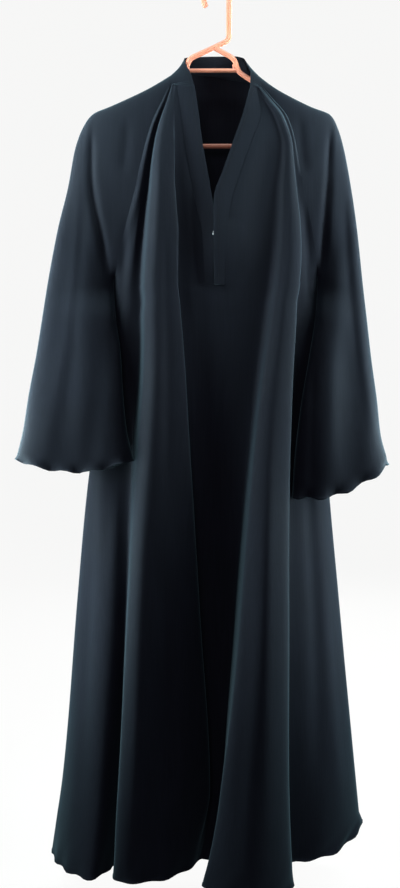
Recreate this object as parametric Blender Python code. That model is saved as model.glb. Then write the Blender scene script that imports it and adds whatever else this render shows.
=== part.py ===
# A long dark abaya with raglan bell sleeves, hanging on a moulded plastic hanger.
# Metres, +Z up. The origin is the inner top of the hanger's hook, where a peg carries it.
# The front of the garment looks along -Y, and +X is the wearer's left side.
# Sizes below are millimetres, and "drop" is the distance below the origin.
import math

import bmesh
import bpy
import numpy as np

MM = 0.001
COLLECTION = "abaya_on_hanger"

CLOTH_WALL = 1.2
SEAM_GAP = 0.36
SHARP_ANGLE = 50

# The hanger's tubes.
HANGER_MID = -8.0
HOOK_RADIUS = 21.4
TUBE_RADIUS = 4.6
RIGHT_ARM_RADIUS = 4.35
BOTTOM_BAR_RADIUS = 4.1
CROSS_BAR_RADIUS = 3.4
NUB_RADIUS = 2.7
BOTTOM_BAR_DROP = 266.0
CROSS_BAR_DROP = 137.5

# Hem frill: the rolled edge stretches into small waves.
FRILL_WAVE = 46.0
FRILL_DEPTH = 5.0
FRILL_FADE = 18.0
FRILL_DIP = 2.6
# The hem is heavier than the cuffs and waves less.
HEM_FRILL_SHARE = 0.45

# Rows of the body between the underarm and the hem, as drops.
UNDERARM_DROP = 507.0
HEM_DROP = 1470.0
BODY_DROPS = (530, 560, 600, 650, 715, 785, 860, 940, 1040, 1150, 1250, 1345, 1412)
HEM_FRACTIONS = (0.45, 1.0)
STEPS_PER_FOLD = 2
SEAM_STEP = 0.1
RAGLAN_STEP = 0.25
BACK_STEPS = 26
BACK_EDGE_SHARE = 0.3
BACK_NECK_STATIONS = 2.5
# The front's rows sag by this from the raglan seam to the neck.
NECK_SAG = 5.0
SLEEVE_STEPS = 10
BAND_STEPS = 2


class Table:
    """Rows of numbers with named columns, read smoothly between the rows."""

    def __init__(self, columns, rows):
        self.columns = {name: i for i, name in enumerate(columns.split())}
        self.rows = np.array(rows, dtype=float)

    def at(self, name, where):
        return smooth_read(self.rows[:, 0], self.rows[:, self.columns[name]], where)


def slopes(knots, values):
    """Slopes that never overshoot: flat at a peak or a hollow."""
    steps = np.diff(knots)
    rises = np.diff(values) / steps
    result = np.zeros(len(values))
    for i in range(1, len(values) - 1):
        before, after = rises[i - 1], rises[i]
        if before * after > 0:
            w1, w2 = 2 * steps[i] + steps[i - 1], steps[i] + 2 * steps[i - 1]
            result[i] = (w1 + w2) / (w1 / before + w2 / after)
    result[0], result[-1] = rises[0], rises[-1]
    return result


def smooth_read(knots, values, where, tangents=None):
    knots, values = np.asarray(knots, float), np.asarray(values, float)
    tangents = slopes(knots, values) if tangents is None else tangents
    where = np.clip(where, knots[0], knots[-1])
    i = np.clip(np.searchsorted(knots, where, side="right") - 1, 0, len(knots) - 2)
    step = knots[i + 1] - knots[i]
    t = (where - knots[i]) / step
    return ((1 + 2 * t) * (1 - t) ** 2 * values[i] + t * (1 - t) ** 2 * step * tangents[i]
            + t * t * (3 - 2 * t) * values[i + 1] + t * t * (t - 1) * step * tangents[i + 1])


def ease(t):
    t = np.clip(t, 0.0, 1.0)
    return t * t * (3 - 2 * t)


# Sleeve sections, fanned from the neck (0) to the underarm (8) and on to the cuff (13).
# "top" is the outer edge, over the hanger arm and down; "inner" is the raglan seam and then
# the inner edge. inner_half is half the gap between the two raglan seams.
SLEEVE_COLUMNS = ("station top_x top_y top_drop inner_x inner_y inner_drop inner_half half "
                  "back_rise back_in")
SLEEVES = {
    "sleeve_right": Table(SLEEVE_COLUMNS, (
        (0, -75, 0, 145.5, -79, 0, 165, 12, 12, 24, 14),
        (1, -120, 0, 173.5, -90, 0, 190, 14, 13, 18, 9),
        (2, -178, 0, 200.5, -109, 0, 231, 16, 14, 10, 5),
        (3, -209, 0, 214, -120, 0, 268, 17, 15, 7, 2),
        (4, -225, 0, 235, -130, 0, 309, 17, 16, 5, 0),
        (5, -239, 0, 272, -137, 0, 342, 16, 17, 4, 0),
        (6, -251, -2, 340, -155, 0, 411, 14, 18, 2, 0),
        (7, -267, -5, 409, -168, 0, 469, 10, 19, 0, 0),
        (8, -284, -10, 507, -174, -1, 507, 0, 20, 0, 0),
        (9, -292, -15, 563, -169, -16, 563, 0, 20, 0, 0),
        (10, -301, -18, 620, -161, -21, 620, 0, 20, 0, 0),
        (11, -313, -24, 690, -156, -28, 690, 0, 22, 0, 0),
        (12, -321, -28, 750, -149, -32, 755, 0, 25, 0, 0),
        (13, -331, -32, 798, -138, -34, 800, 0, 28, 0, 0))),
    "sleeve_left": Table(SLEEVE_COLUMNS, (
        (0, 69, 0, 146, 76, 0, 169, 12, 12, 16, -14),
        (1, 101, 0, 171.5, 95, 0, 192, 14, 13, 13, -9),
        (2, 158, 0, 201.5, 119, 0, 222, 16, 14, 10, -5),
        (3, 193, 0, 216, 132, 0, 262, 17, 15, 7, -2),
        (4, 205, 0, 238, 139, 0, 305, 17, 16, 5, 0),
        (5, 215, 0, 272, 146, 0, 342, 16, 17, 4, 0),
        (6, 227, -2, 340, 160, 0, 406, 14, 18, 2, 0),
        (7, 236, -5, 409, 168, 0, 460, 10, 19, 0, 0),
        (8, 245, -10, 507, 171, -1, 507, 0, 20, 0, 0),
        (9, 251, -15, 570, 165, -16, 566, 0, 20, 0, 0),
        (10, 257, -18, 630, 155, -21, 630, 0, 20, 0, 0),
        (11, 265, -24, 700, 141, -27, 710, 0, 22, 0, 0),
        (12, 270, -27, 755, 131, -30, 790, 0, 25, 0, 0),
        (13, 283, -30, 806, 125, -32, 862, 0, 28, 0, 0)))}

# Where the neck edge of each front lies: the seam between front and band, and the free edge.
NECK_COLUMNS = "drop seam_x seam_y edge_x edge_y"
NECK_EDGES = {
    "sleeve_right": Table(NECK_COLUMNS, (
        (165, -67, -14, -38, -17),
        (213, -60, -16, -31, -20),
        (261, -55, -17, -25, -22),
        (318, -45, -18, -15, -23),
        (371, -34, -19, -6, -24),
        (420, -24, -20, 1, -25),
        (507, -20, -20, 2, -20.5))),
    "sleeve_left": Table(NECK_COLUMNS, (
        (165, 66, -14, 58, -17),
        (211, 74, -18, 46, -21),
        (253, 61, -22, 32, -24),
        (311, 41, -25, 12, -28),
        (366, 24, -28, -5, -31),
        (420, 16, -30, -5, -31.5),
        (507, 13, -22.5, -4, -26)))}

# The band's free edge round the neck, from one side over the back to the other.
COLLAR_TOP = Table("around x y drop", (
    (0.0, -38, -17, 170),
    (0.6, -44, -13, 148),
    (1.0, -53, -4, 126),
    (1.6, -54, 9, 112),
    (2.1, -36, 18, 106),
    (3.0, -2, 22, 103),
    (3.9, 32, 19, 104),
    (4.4, 45, 10, 111),
    (5.0, 52, -4, 130),
    (5.4, 57, -12, 148),
    (6.0, 56, -18, 174)))
COLLAR_CORNERS = (0.0, 0.35, 1.6, 4.4, 5.65, 6.0)
BACK_NECK = Table("across rise bulge", (
    (0.0, 0, 0),
    (0.22, 7, 3),
    (0.45, 7.5, 6),
    (0.65, 5.5, 7),
    (0.85, 2.5, 3),
    (1.0, 0, 0)))

# Front sections: one row a height, one column a fold line, image left to image right.
# ACROSS is how far a line lies from a half's left border to its right border.
LEFT_LINES = 8
FRONT_LINES = ("swell_1 swell_2 hollow_a ridge_a crown_a belly_a edge_a tuck_a "
               "hollow_b ridge_b crown_b edge_b tuck_b swell_3 swell_4")
FRONT_ACROSS = Table("drop " + FRONT_LINES, (
    (165, .12, .20, .30, .40, .50, .60, .70, .80, .22, .38, .48, .58, .68, .78, .88),
    (213, .10, .16, .24, .32, .45, .56, .70, .76, .45, .58, .68, .78, .82, .88, .94),
    (268, .08, .14, .20, .28, .42, .58, .74, .735, .64, .76, .83, .90, .895, .93, .965),
    (342, .08, .14, .21, .31, .44, .57, .695, .68, .57, .71, .79, .88, .87, .92, .96),
    (507, .06, .18, .29, .37, .48, .60, .715, .70, .44, .56, .66, .775, .76, .85, .93),
    (560, .075, .20, .316, .391, .50, .624, .748, .733, .38, .487, .586, .711, .70, .80, .91),
    (785, .105, .245, .345, .42, .535, .68, .845, .832, .225, .285, .42, .605, .59, .755, .88),
    (1040, .108, .26, .375, .41, .53, .715, .91, .90, .10, .145, .305, .52, .505, .725, .875),
    (1345, .103, .286, .395, .405, .51, .70, .98, .975, .03, -.01, .19, .465, .456, .68, .875),
    (1470, .11, .32, .445, .455, .56, .74, .92, .97, .07, -.05, .21, .49, .49, .67, .85)))
FRONT_Y = Table("drop " + FRONT_LINES, (
    (165, -12, -12, -12, -13, -13, -13, -14, -14, -14, -14, -14, -13, -13, -12, -12),
    (213, -16, -15, -14, -18, -20, -20, -19, -18, -19, -22, -22, -20, -18, -16, -16),
    (268, -18, -16, -13, -23, -28, -27, -24, -21, -21, -25, -26, -23, -19, -17, -17),
    (342, -18, -16, -11, -28, -35, -33, -28, -21.5, -21, -28, -30, -26, -18.5, -16, -16),
    (507, -9, -13, -10, -31, -39, -36, -30, -22, -21, -35, -41, -35, -17, -12, -8),
    (785, 0, -4, -8, -43, -57, -49, -37, -22, -23, -55, -66, -54, -22, -6, 2),
    (1040, -2, -18, -16, -54, -70, -60, -38, -22, -24, -80, -95, -76, -26, -12, 2),
    (1345, -22, -50, -25, -66, -82, -72, -34, -23, -24, -94, -120, -89, -30, -26, -6),
    (1470, -34, -74, -30, -72, -86, -78, -42, -28, -24, -98, -130, -94, -34, -32, -10)))

# Body sides, the seam of front and back, and the middle of the front below the slit.
SIDES = Table("drop left_x left_y right_x right_y mid_left mid_right mid_y", (
    (507, -171, 1, 168, 1, -20, 13, -21.5),
    (530, -176, 6, 173, 6, -19, 13, -21),
    (560, -182, 10, 178, 10, -18, 13, -20),
    (600, -184, 13, 181, 13, -17, 13, -20),
    (650, -189, 15, 183, 15, -16, 13, -20),
    (785, -213, 18, 189, 18, -13, 13, -19),
    (1040, -240, 24, 211, 22, -8, 11, -19),
    (1345, -267, 32, 242, 30, -6, 3, -19),
    (1470, -286, 38, 256, 36, -24, -11, -20)))

# The hem's drop along the front, image left to right, and along the back.
FRONT_HEM = Table("across drop", (
    (0.0, 1478), (0.12, 1470), (0.3, 1470), (0.6, 1466), (0.8, 1468), (0.92, 1455), (1.0, 1428)))
BACK_HEM = Table("across drop", (
    (0.0, 1478), (0.25, 1474), (0.5, 1470), (0.8, 1458), (1.0, 1428)))

# Soft flutes of the back, hidden in the photograph and like those of the front.
BACK_FLUTES = Table("flute across width depth start", (
    (0, 0.16, 0.075, 20, 420),
    (1, 0.33, 0.085, -18, 330),
    (2, 0.52, 0.080, 24, 240),
    (3, 0.69, 0.090, -16, 300),
    (4, 0.85, 0.070, 19, 450)))
FLUTE_END = 0.12
FLUTE_GROWTH = 0.8
# The power of the rounded lens that the back's section follows.
LENS_POWER = 2.6
BACK_DEPTH = Table("drop depth", (
    (147, 2), (268, 4), (342, 7), (411, 10), (469, 15), (507, 25), (530, 22), (560, 20),
    (600, 18), (650, 17), (785, 14), (1040, 20), (1470, 28)))

# The dark trough that runs from each hanger end to the underarm and parts arm from body.
ARM_TROUGH = {
    "sleeve_right": Table("drop x", ((225, -212), (340, -209), (425, -194), (500, -181))),
    "sleeve_left": Table("drop x", ((225, 194), (340, 187), (425, 181), (500, 176)))}
TROUGH_DEPTH = 9.0
TROUGH_WIDTH = 11.0
TROUGH_BACK_SHARE = 0.6
TROUGH_TOP, TROUGH_TOP_FADE, TROUGH_END_FADE = 225.0, 60.0, 90.0

# Where the raglan seams start to close into a rounded fold, and how round its inner edge is.
CLOSING_FROM = 7
CLOSED_BEND = 1.3
# The outer edge is flat over the hanger arm at the neck and rounds off by this station.
OUTER_ROUND_BY = 1.5
# A long soft wave round each hanging sleeve.
SLEEVE_WAVE_FROM, SLEEVE_WAVE_STATIONS = 5, 8
SLEEVE_WAVE_DEPTH, SLEEVE_WAVE_BACK_SHARE = 5.0, 0.7
SLEEVE_WAVES, SLEEVE_WAVE_DRIFT = 1.35, 0.06
CUFF_DIP_FROM = 10

SLEEVE_STATIONS = (0, 0.5, 1, 1.5, 2, 2.5, 3, 3.5, 4, 5, 6, 7, 8, 8.5, 9, 10, 11, 12, 12.6)
UNDERARM_STATION = 8
CUFF_STATION = 13
CUFF_FRACTIONS = (0.55, 1.0)
CUFF_DIP = 19.0

SNAP_DROP = 421.0
SNAP_RADIUS = 5.0
SNAP_THICKNESS = 2.6
SNAP_TAPER = 0.86
SNAP_INSET = 2.5

CLOTH_COLOUR = (0.012, 0.017, 0.026, 1.0)
HANGER_COLOUR = (0.80, 0.27, 0.14, 1.0)
SNAP_COLOUR = (0.75, 0.78, 0.80, 1.0)


def frill(points, depth_fraction, share=1.0):
    """Push a row of hem points in and out along the cloth's normal, in uneven waves."""
    points = np.array(points)
    run = np.concatenate(([0], np.cumsum(np.hypot(*np.diff(points[:, :2], axis=0).T))))
    along = np.gradient(points[:, :2], axis=0)
    along /= np.maximum(np.hypot(along[:, 0], along[:, 1]), 1e-6)[:, None]
    swing = np.sin(2 * math.pi * run / FRILL_WAVE + 0.9 * np.sin(run / 97.0))
    swing *= share * (0.75 + 0.25 * np.sin(run / 61.0))
    swing *= ease(run / FRILL_FADE) * ease((run[-1] - run) / FRILL_FADE)
    ahead = np.array([np.interp(run + FRILL_FADE, run, points[:, i]) for i in (0, 1)])
    behind = np.array([np.interp(run - FRILL_FADE, run, points[:, i]) for i in (0, 1)])
    swing *= ease(np.hypot(*(ahead - behind)) / FRILL_FADE - 1)
    depth = FRILL_DEPTH * depth_fraction ** 2
    points[:, 0] += along[:, 1] * swing * depth
    points[:, 1] -= along[:, 0] * swing * depth
    points[:, 2] += FRILL_DIP * depth_fraction ** 2 * swing
    return points


def denser(params):
    """The same places with one more between each two."""
    return np.sort(np.concatenate((params, (params[1:] + params[:-1]) / 2)))


def side_rounding(station):
    """The front and back seams close up to a rounded fold just above the underarm."""
    return float(ease(station - CLOSING_FROM))


def sleeve_section(side, station, across):
    """Points from the front raglan seam, over the outer edge, to the back raglan seam."""
    table = SLEEVES[side]
    value = {name: float(table.at(name, station)) for name in table.columns}
    length = 2 * np.abs(across - 0.5)
    closed = side_rounding(station)
    to_top = 1 - length
    reach = ((1 - closed) * np.sin(math.pi * to_top / 2)
             + closed * (1 - np.cos(math.pi * to_top)) / 2)
    on_back = across > 0.5
    start = min(value["inner_half"] / value["half"], 1.0)
    inner_bend = 1 + CLOSED_BEND * closed
    inner_round = start + (1 - start) * (1 - (1 - reach) ** inner_bend) ** (1 / inner_bend)
    top_bend = 2 + 2 * float(ease(station / OUTER_ROUND_BY))
    half = value["half"] * inner_round * (1 - reach ** top_bend) ** (1 / top_bend)
    half = np.where(reach > 0.9999, 0.0, half)
    x = value["inner_x"] + (value["top_x"] - value["inner_x"]) * reach
    x = x + np.where(on_back, value["back_in"] * (1 - reach), 0)
    drop = value["inner_drop"] + (value["top_drop"] - value["inner_drop"]) * reach
    drop = drop - np.where(on_back, value["back_rise"] * (1 - reach), 0)
    y = value["inner_y"] + (value["top_y"] - value["inner_y"]) * reach
    y = y + np.where(on_back, half, -half)
    trough = ARM_TROUGH[side].at("x", drop)
    fade = ease((drop - TROUGH_TOP) / TROUGH_TOP_FADE)
    fade = fade * ease((UNDERARM_DROP + 10 - drop) / TROUGH_END_FADE)
    y = y + np.where(on_back, -TROUGH_BACK_SHARE, 1.0) * TROUGH_DEPTH * fade * (
        np.exp(-((x - trough) / TROUGH_WIDTH) ** 2))
    grown = min(max((station - SLEEVE_WAVE_FROM) / SLEEVE_WAVE_STATIONS, 0), 1)
    swell = SLEEVE_WAVE_DEPTH * math.sin(math.pi * grown / 2) * np.sin(math.pi * reach)
    y = y - np.where(on_back, -SLEEVE_WAVE_BACK_SHARE, 1.0) * swell * (
        np.cos(2 * math.pi * (SLEEVE_WAVES * reach + SLEEVE_WAVE_DRIFT * station)))
    dipped = ease((station - CUFF_DIP_FROM) / (CUFF_STATION - CUFF_DIP_FROM))
    drop = drop + CUFF_DIP * dipped * np.sin(math.pi * reach)
    return np.column_stack((x, y, drop))


def sleeve_rows(side, steps=SLEEVE_STEPS):
    across = np.linspace(0, 1, 2 * steps + 1)
    rows = [sleeve_section(side, station, across) for station in SLEEVE_STATIONS]
    fine = denser(across)
    last = SLEEVE_STATIONS[-1]
    for fraction in CUFF_FRACTIONS:
        row = sleeve_section(side, last + (CUFF_STATION - last) * fraction, fine)
        rows.append(frill(row, fraction))
    return rows


def front_half(drop, names, left, right):
    """The fold lines that one half of a front section passes through, with its two ends."""
    points = [left]
    for name in names:
        across = float(FRONT_ACROSS.at(name, drop))
        points.append((left[0] + (right[0] - left[0]) * across, float(FRONT_Y.at(name, drop))))
    return points + [right]


def through(controls, params, round_first, round_last):
    """A smooth curve through the control points; a rounded end turns square to X."""
    controls = np.array(controls)
    knots = np.arange(len(controls))
    slope_x, slope_y = slopes(knots, controls[:, 0]), slopes(knots, controls[:, 1])
    slope_x[0] *= 1 - round_first
    slope_x[-1] *= 1 - round_last
    x = smooth_read(knots, controls[:, 0], params, slope_x)
    y = smooth_read(knots, controls[:, 1], params, slope_y)
    return np.column_stack((x, y))


def front_params(count, steps, first_step, last_step):
    """Places along the fold lines, with one more close to each side seam."""
    params = list(np.linspace(0, count - 1, (count - 1) * steps + 1))
    if first_step:
        params.insert(1, first_step)
    if last_step:
        params.insert(-1, count - 1 - last_step)
    return np.array(params)


def front_half_rows(steps):
    """Rows of the two halves: from raglan or side seam to slit, and from slit to side."""
    left_rows, right_rows = [], []
    for station in SLEEVE_STATIONS:
        if station > UNDERARM_STATION:
            break
        ends = {}
        for side in SLEEVES:
            ends[side] = sleeve_section(side, station, np.array([0.0]))[0]
        if station == UNDERARM_STATION:
            for side, name in (("sleeve_right", "left"), ("sleeve_left", "right")):
                ends[side][:2] = side_end(name, UNDERARM_DROP)
        for side, rows in (("sleeve_right", left_rows), ("sleeve_left", right_rows)):
            drop = ends[side][2]
            neck = NECK_EDGES[side]
            seam = (float(neck.at("seam_x", drop)), float(neck.at("seam_y", drop)))
            end = tuple(ends[side][:2])
            is_left = side == "sleeve_right"
            names = FRONT_LINES.split()
            if is_left:
                half = front_half(drop, names[:LEFT_LINES], end, seam)
            else:
                half = front_half(drop, names[LEFT_LINES:], seam, end)
            rounding = side_rounding(station)
            near = RAGLAN_STEP + (SEAM_STEP - RAGLAN_STEP) * rounding
            params = front_params(len(half), steps, near * is_left, near * (not is_left))
            flat = through(half, params, rounding * is_left, rounding * (not is_left))
            from_seam = params / params[-1]
            if not is_left:
                from_seam = 1 - from_seam
            drops = drop + NECK_SAG * (1 - station / UNDERARM_STATION) * from_seam
            rows.append(np.column_stack((flat, drops)))
    return left_rows, right_rows


def side_end(name, drop):
    """Where the side seam of front and back lies at a drop, on the side named."""
    return float(SIDES.at(name + "_x", drop)), float(SIDES.at(name + "_y", drop))


def body_front_row(drop, steps, fine=False):
    """One row right across the front, below the slit: left half, middle, right half."""
    side_left, side_right = side_end("left", drop), side_end("right", drop)
    middle = float(SIDES.at("mid_y", drop))
    seam_left = (float(SIDES.at("mid_left", drop)), middle)
    seam_right = (float(SIDES.at("mid_right", drop)), middle)
    names = FRONT_LINES.split()
    controls = (front_half(drop, names[:LEFT_LINES], side_left, seam_left)
                + front_half(drop, names[LEFT_LINES:], seam_right, side_right))
    params = front_params(len(controls), steps, SEAM_STEP, SEAM_STEP)
    if fine:
        params = denser(params)
    return through(controls, params, 1, 1), params / params[-1]


def body_rows(row_function, hem_table, steps):
    rows = []
    for drop in BODY_DROPS:
        flat, across = row_function(drop, steps)
        rows.append(np.column_stack((flat, np.full(len(flat), float(drop)))))
    last = BODY_DROPS[-1]
    for fraction in HEM_FRACTIONS:
        flat, across = row_function(last + (HEM_DROP - last) * fraction, steps, True)
        drops = last + (hem_table.at("drop", across) - last) * fraction
        rows.append(frill(np.column_stack((flat, drops)), fraction, HEM_FRILL_SHARE))
    return rows


def back_shape(drop, across, left, right, rounding):
    """One back section between its two ends, in plan, with the flutes that have begun."""
    angle = math.pi * across
    bend = 2 / LENS_POWER
    swing = -np.sign(np.cos(angle)) * np.abs(np.cos(angle)) ** bend
    straight = 2 * across - 1
    place = (1 - rounding) * straight + rounding * swing
    x = (left[0] + right[0]) / 2 + (right[0] - left[0]) / 2 * place
    base = left[1] + (right[1] - left[1]) * across
    y = base + float(BACK_DEPTH.at("depth", drop)) * np.abs(np.sin(angle)) ** bend
    ends = ease(across / FLUTE_END) * ease((1 - across) / FLUTE_END)
    for _, centre, width, depth, start in BACK_FLUTES.rows:
        grown = float(ease((drop - start) / (HEM_DROP - start)) ** FLUTE_GROWTH)
        y = y + depth * grown * ends * np.exp(-((across - centre) / width) ** 2)
    return np.column_stack((x, y))


def back_places(steps):
    across = np.linspace(0, 1, steps + 1)
    edge = BACK_EDGE_SHARE * across[1]
    return np.concatenate((across[:1], [edge], across[1:-1], [1 - edge], across[-1:]))


def back_row(drop, steps, fine=False):
    across = back_places(steps)
    if fine:
        across = denser(across)
    left, right = side_end("left", drop), side_end("right", drop)
    return back_shape(drop, across, left, right, 1.0), across


def back_top_rows(steps):
    across = back_places(steps)
    rows = []
    for station in SLEEVE_STATIONS:
        if station > UNDERARM_STATION:
            break
        left = sleeve_section("sleeve_right", station, np.array([1.0]))[0]
        right = sleeve_section("sleeve_left", station, np.array([1.0]))[0]
        if station == UNDERARM_STATION:
            left[:2] = side_end("left", UNDERARM_DROP)
            right[:2] = side_end("right", UNDERARM_DROP)
        drop = left[2] + (right[2] - left[2]) * across
        rounding = side_rounding(station)
        flat = back_shape(float(drop.mean()), across, left, right, rounding)
        near_neck = 1 - ease(station / BACK_NECK_STATIONS)
        flat[:, 1] += near_neck * BACK_NECK.at("bulge", across)
        drop = drop - near_neck * BACK_NECK.at("rise", across)
        rows.append(np.column_stack((flat, drop)))
    return rows


def place_key(point):
    return tuple(round(float(value), 3) for value in point)


class Cloth:
    """A cloth piece: a surface of stitched rows through the middle of its wall."""

    def __init__(self, name):
        self.name = name
        self.points, self.faces, self.pulls = [], [], {}

    def add(self, points):
        first = len(self.points)
        self.points.extend(np.array((x, y, -drop), dtype=float) for x, y, drop in points)
        return list(range(first, first + len(points)))

    def stitch(self, upper, lower):
        """Faces between two rows; the lower row may have twice the steps."""
        if len(upper) == len(lower):
            for i in range(len(upper) - 1):
                a, b, c, d = upper[i], lower[i], lower[i + 1], upper[i + 1]
                across = self.points[a] - self.points[c], self.points[b] - self.points[d]
                if np.linalg.norm(across[0]) < np.linalg.norm(across[1]):
                    self.faces += [(a, b, c), (a, c, d)]
                else:
                    self.faces += [(a, b, d), (b, c, d)]
            return
        for i in range(len(upper) - 1):
            a, b, c = lower[2 * i], lower[2 * i + 1], lower[2 * i + 2]
            self.faces.append((upper[i], a, b))
            self.faces.append((upper[i], b, upper[i + 1]))
            self.faces.append((upper[i + 1], b, c))

    def seam(self, row, inner):
        """These points are sewn to another piece: they stop half a seam gap short of it."""
        for point, beside in zip(row, inner):
            self.pulls.setdefault(point, []).append(beside)

    def corner_normals(self):
        """Each face with its normal at each corner, weighted by the corner's angle."""
        for face in self.faces:
            corners = [self.points[i] for i in face]
            normal = np.cross(corners[1] - corners[0], corners[2] - corners[0])
            normal /= max(np.linalg.norm(normal), 1e-9)
            weighted = []
            for i, corner in enumerate(corners):
                one, other = corners[i - 1] - corner, corners[(i + 1) % 3] - corner
                lengths = np.linalg.norm(one) * np.linalg.norm(other)
                weighted.append(normal * math.acos(np.clip(one.dot(other) / lengths, -1, 1)))
            yield face, weighted

    def build(self, normals):
        """The closed wall: an outer and an inner surface, joined along every free edge."""
        half = CLOTH_WALL / 2
        outer, inner = [], []
        for i, point in enumerate(self.points):
            normal = normals[place_key(point)]
            normal = normal / max(np.linalg.norm(normal), 1e-9)
            moved = point.copy()
            for beside in self.pulls.get(i, ()):
                away = self.points[beside] - point
                away -= normal * away.dot(normal)
                moved += away / max(np.linalg.norm(away), 1e-6) * SEAM_GAP / 2
            outer.append(moved + normal * half)
            inner.append(moved - normal * half)
        count = len(self.points)
        faces = list(self.faces)
        faces += [tuple(i + count for i in reversed(face)) for face in self.faces]
        edges = {(a, b) for face in self.faces for a, b in zip(face, face[1:] + face[:1])}
        faces += [(b, a, a + count, b + count) for a, b in sorted(edges)
                  if (b, a) not in edges]
        mesh = bpy.data.meshes.new(self.name)
        places = [tuple(point * MM) for point in outer + inner]
        mesh.from_pydata(places, [], faces)
        mesh.shade_smooth()
        mesh.set_sharp_from_angle(angle=math.radians(SHARP_ANGLE))
        return bpy.data.objects.new(self.name, mesh)


def shared_normals(pieces):
    """One normal for each place, so that two pieces sewn together turn as one there."""
    normals = {}
    for piece in pieces:
        for face, normal in piece.corner_normals():
            for i, turn in zip(face, normal):
                key = place_key(piece.points[i])
                normals[key] = normals.get(key, 0) + turn
    return normals


def make_front():
    cloth = Cloth("front_panel")
    left_rows, right_rows = front_half_rows(STEPS_PER_FOLD)
    left = [cloth.add(row) for row in left_rows]
    right = [cloth.add(row) for row in right_rows]
    for rows in (left, right):
        for upper, lower in zip(rows, rows[1:]):
            cloth.stitch(upper, lower)
        cloth.seam(rows[0], rows[1])
        for row in rows:
            cloth.seam((row[0], row[-1]), (row[1], row[-2]))
    step = STEPS_PER_FOLD
    middle_row = body_front_row(UNDERARM_DROP, step)[0]
    count = len(left[-1])
    between = middle_row[count:count + step - 1]
    middle = cloth.add([(x, y, UNDERARM_DROP) for x, y in between])
    previous = left[-1] + middle + right[-1]
    for row in body_rows(body_front_row, FRONT_HEM, step):
        current = cloth.add(row)
        cloth.stitch(previous, current)
        cloth.seam((current[0], current[-1]), (current[1], current[-2]))
        previous = current
    return cloth


def make_back():
    cloth = Cloth("back_panel")
    rows = back_top_rows(BACK_STEPS) + body_rows(back_row, BACK_HEM, BACK_STEPS)
    indices = [cloth.add(row[::-1]) for row in rows]
    for upper, lower in zip(indices, indices[1:]):
        cloth.stitch(upper, lower)
    for row in indices:
        cloth.seam((row[0], row[-1]), (row[1], row[-2]))
    cloth.seam(indices[0], indices[1])
    return cloth


def make_sleeve(side):
    cloth = Cloth(side)
    rows = sleeve_rows(side)
    closed_from = SLEEVE_STATIONS.index(UNDERARM_STATION)
    flip = -1 if side == "sleeve_right" else 1
    indices = []
    for i, row in enumerate(rows):
        if i < closed_from:
            indices.append(cloth.add(row)[::flip])
        else:
            ring = cloth.add(row[:-1])
            indices.append((ring + ring[:1])[::flip])
    for upper, lower in zip(indices, indices[1:]):
        cloth.stitch(upper, lower)
    for row in indices[:closed_from]:
        cloth.seam((row[0], row[-1]), (row[1], row[-2]))
    cloth.seam(indices[0], indices[1])
    return cloth


def band_lines():
    """The band's seam, run along the pieces that it is sewn to, and its free edge."""
    left_rows, right_rows = front_half_rows(STEPS_PER_FOLD)
    across = np.linspace(0, 1, 2 * SLEEVE_STEPS + 1)
    right_sleeve = sleeve_section("sleeve_right", 0, across)
    left_sleeve = sleeve_section("sleeve_left", 0, across)
    seam, edge = [], []

    def front_part(rows, side, column):
        neck = NECK_EDGES[side]
        pairs = []
        for row in rows:
            point = row[column]
            place = (float(neck.at("edge_x", point[2])), float(neck.at("edge_y", point[2])))
            pairs.append((point, (*place, point[2])))
        return pairs

    def neck_part(points, start, end):
        run = np.linalg.norm(np.diff(points, axis=0), axis=1)
        run = np.concatenate(([0], np.cumsum(run))) / run.sum()
        pairs = []
        for point, t in zip(points, run):
            around = start + (end - start) * t
            top = [float(COLLAR_TOP.at(name, around)) for name in ("x", "y", "drop")]
            pairs.append((point, top))
        return pairs

    corners = COLLAR_CORNERS
    parts = [front_part(left_rows[::-1], "sleeve_right", -1),
             neck_part(left_rows[0][::-1], corners[0], corners[1])[1:],
             neck_part(right_sleeve, corners[1], corners[2])[1:],
             neck_part(back_top_rows(BACK_STEPS)[0], corners[2], corners[3])[1:],
             neck_part(left_sleeve[::-1], corners[3], corners[4])[1:],
             neck_part(right_rows[0][::-1], corners[4], corners[5])[1:],
             front_part(right_rows, "sleeve_left", 0)[1:]]
    for part in parts:
        for seam_point, edge_point in part:
            seam.append(seam_point)
            edge.append(edge_point)
    return np.array(seam), np.array(edge)


def make_band():
    seam, edge = band_lines()
    for line in (seam, edge):
        for end in (0, -1):
            line[end][2] -= SEAM_GAP + CLOTH_WALL / 2
    cloth = Cloth("neck_band")
    rows = [cloth.add(seam + (edge - seam) * i / BAND_STEPS) for i in range(BAND_STEPS + 1)]
    for upper, lower in zip(rows, rows[1:]):
        cloth.stitch(upper, lower)
    cloth.seam(rows[0], rows[1])
    return cloth


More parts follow.
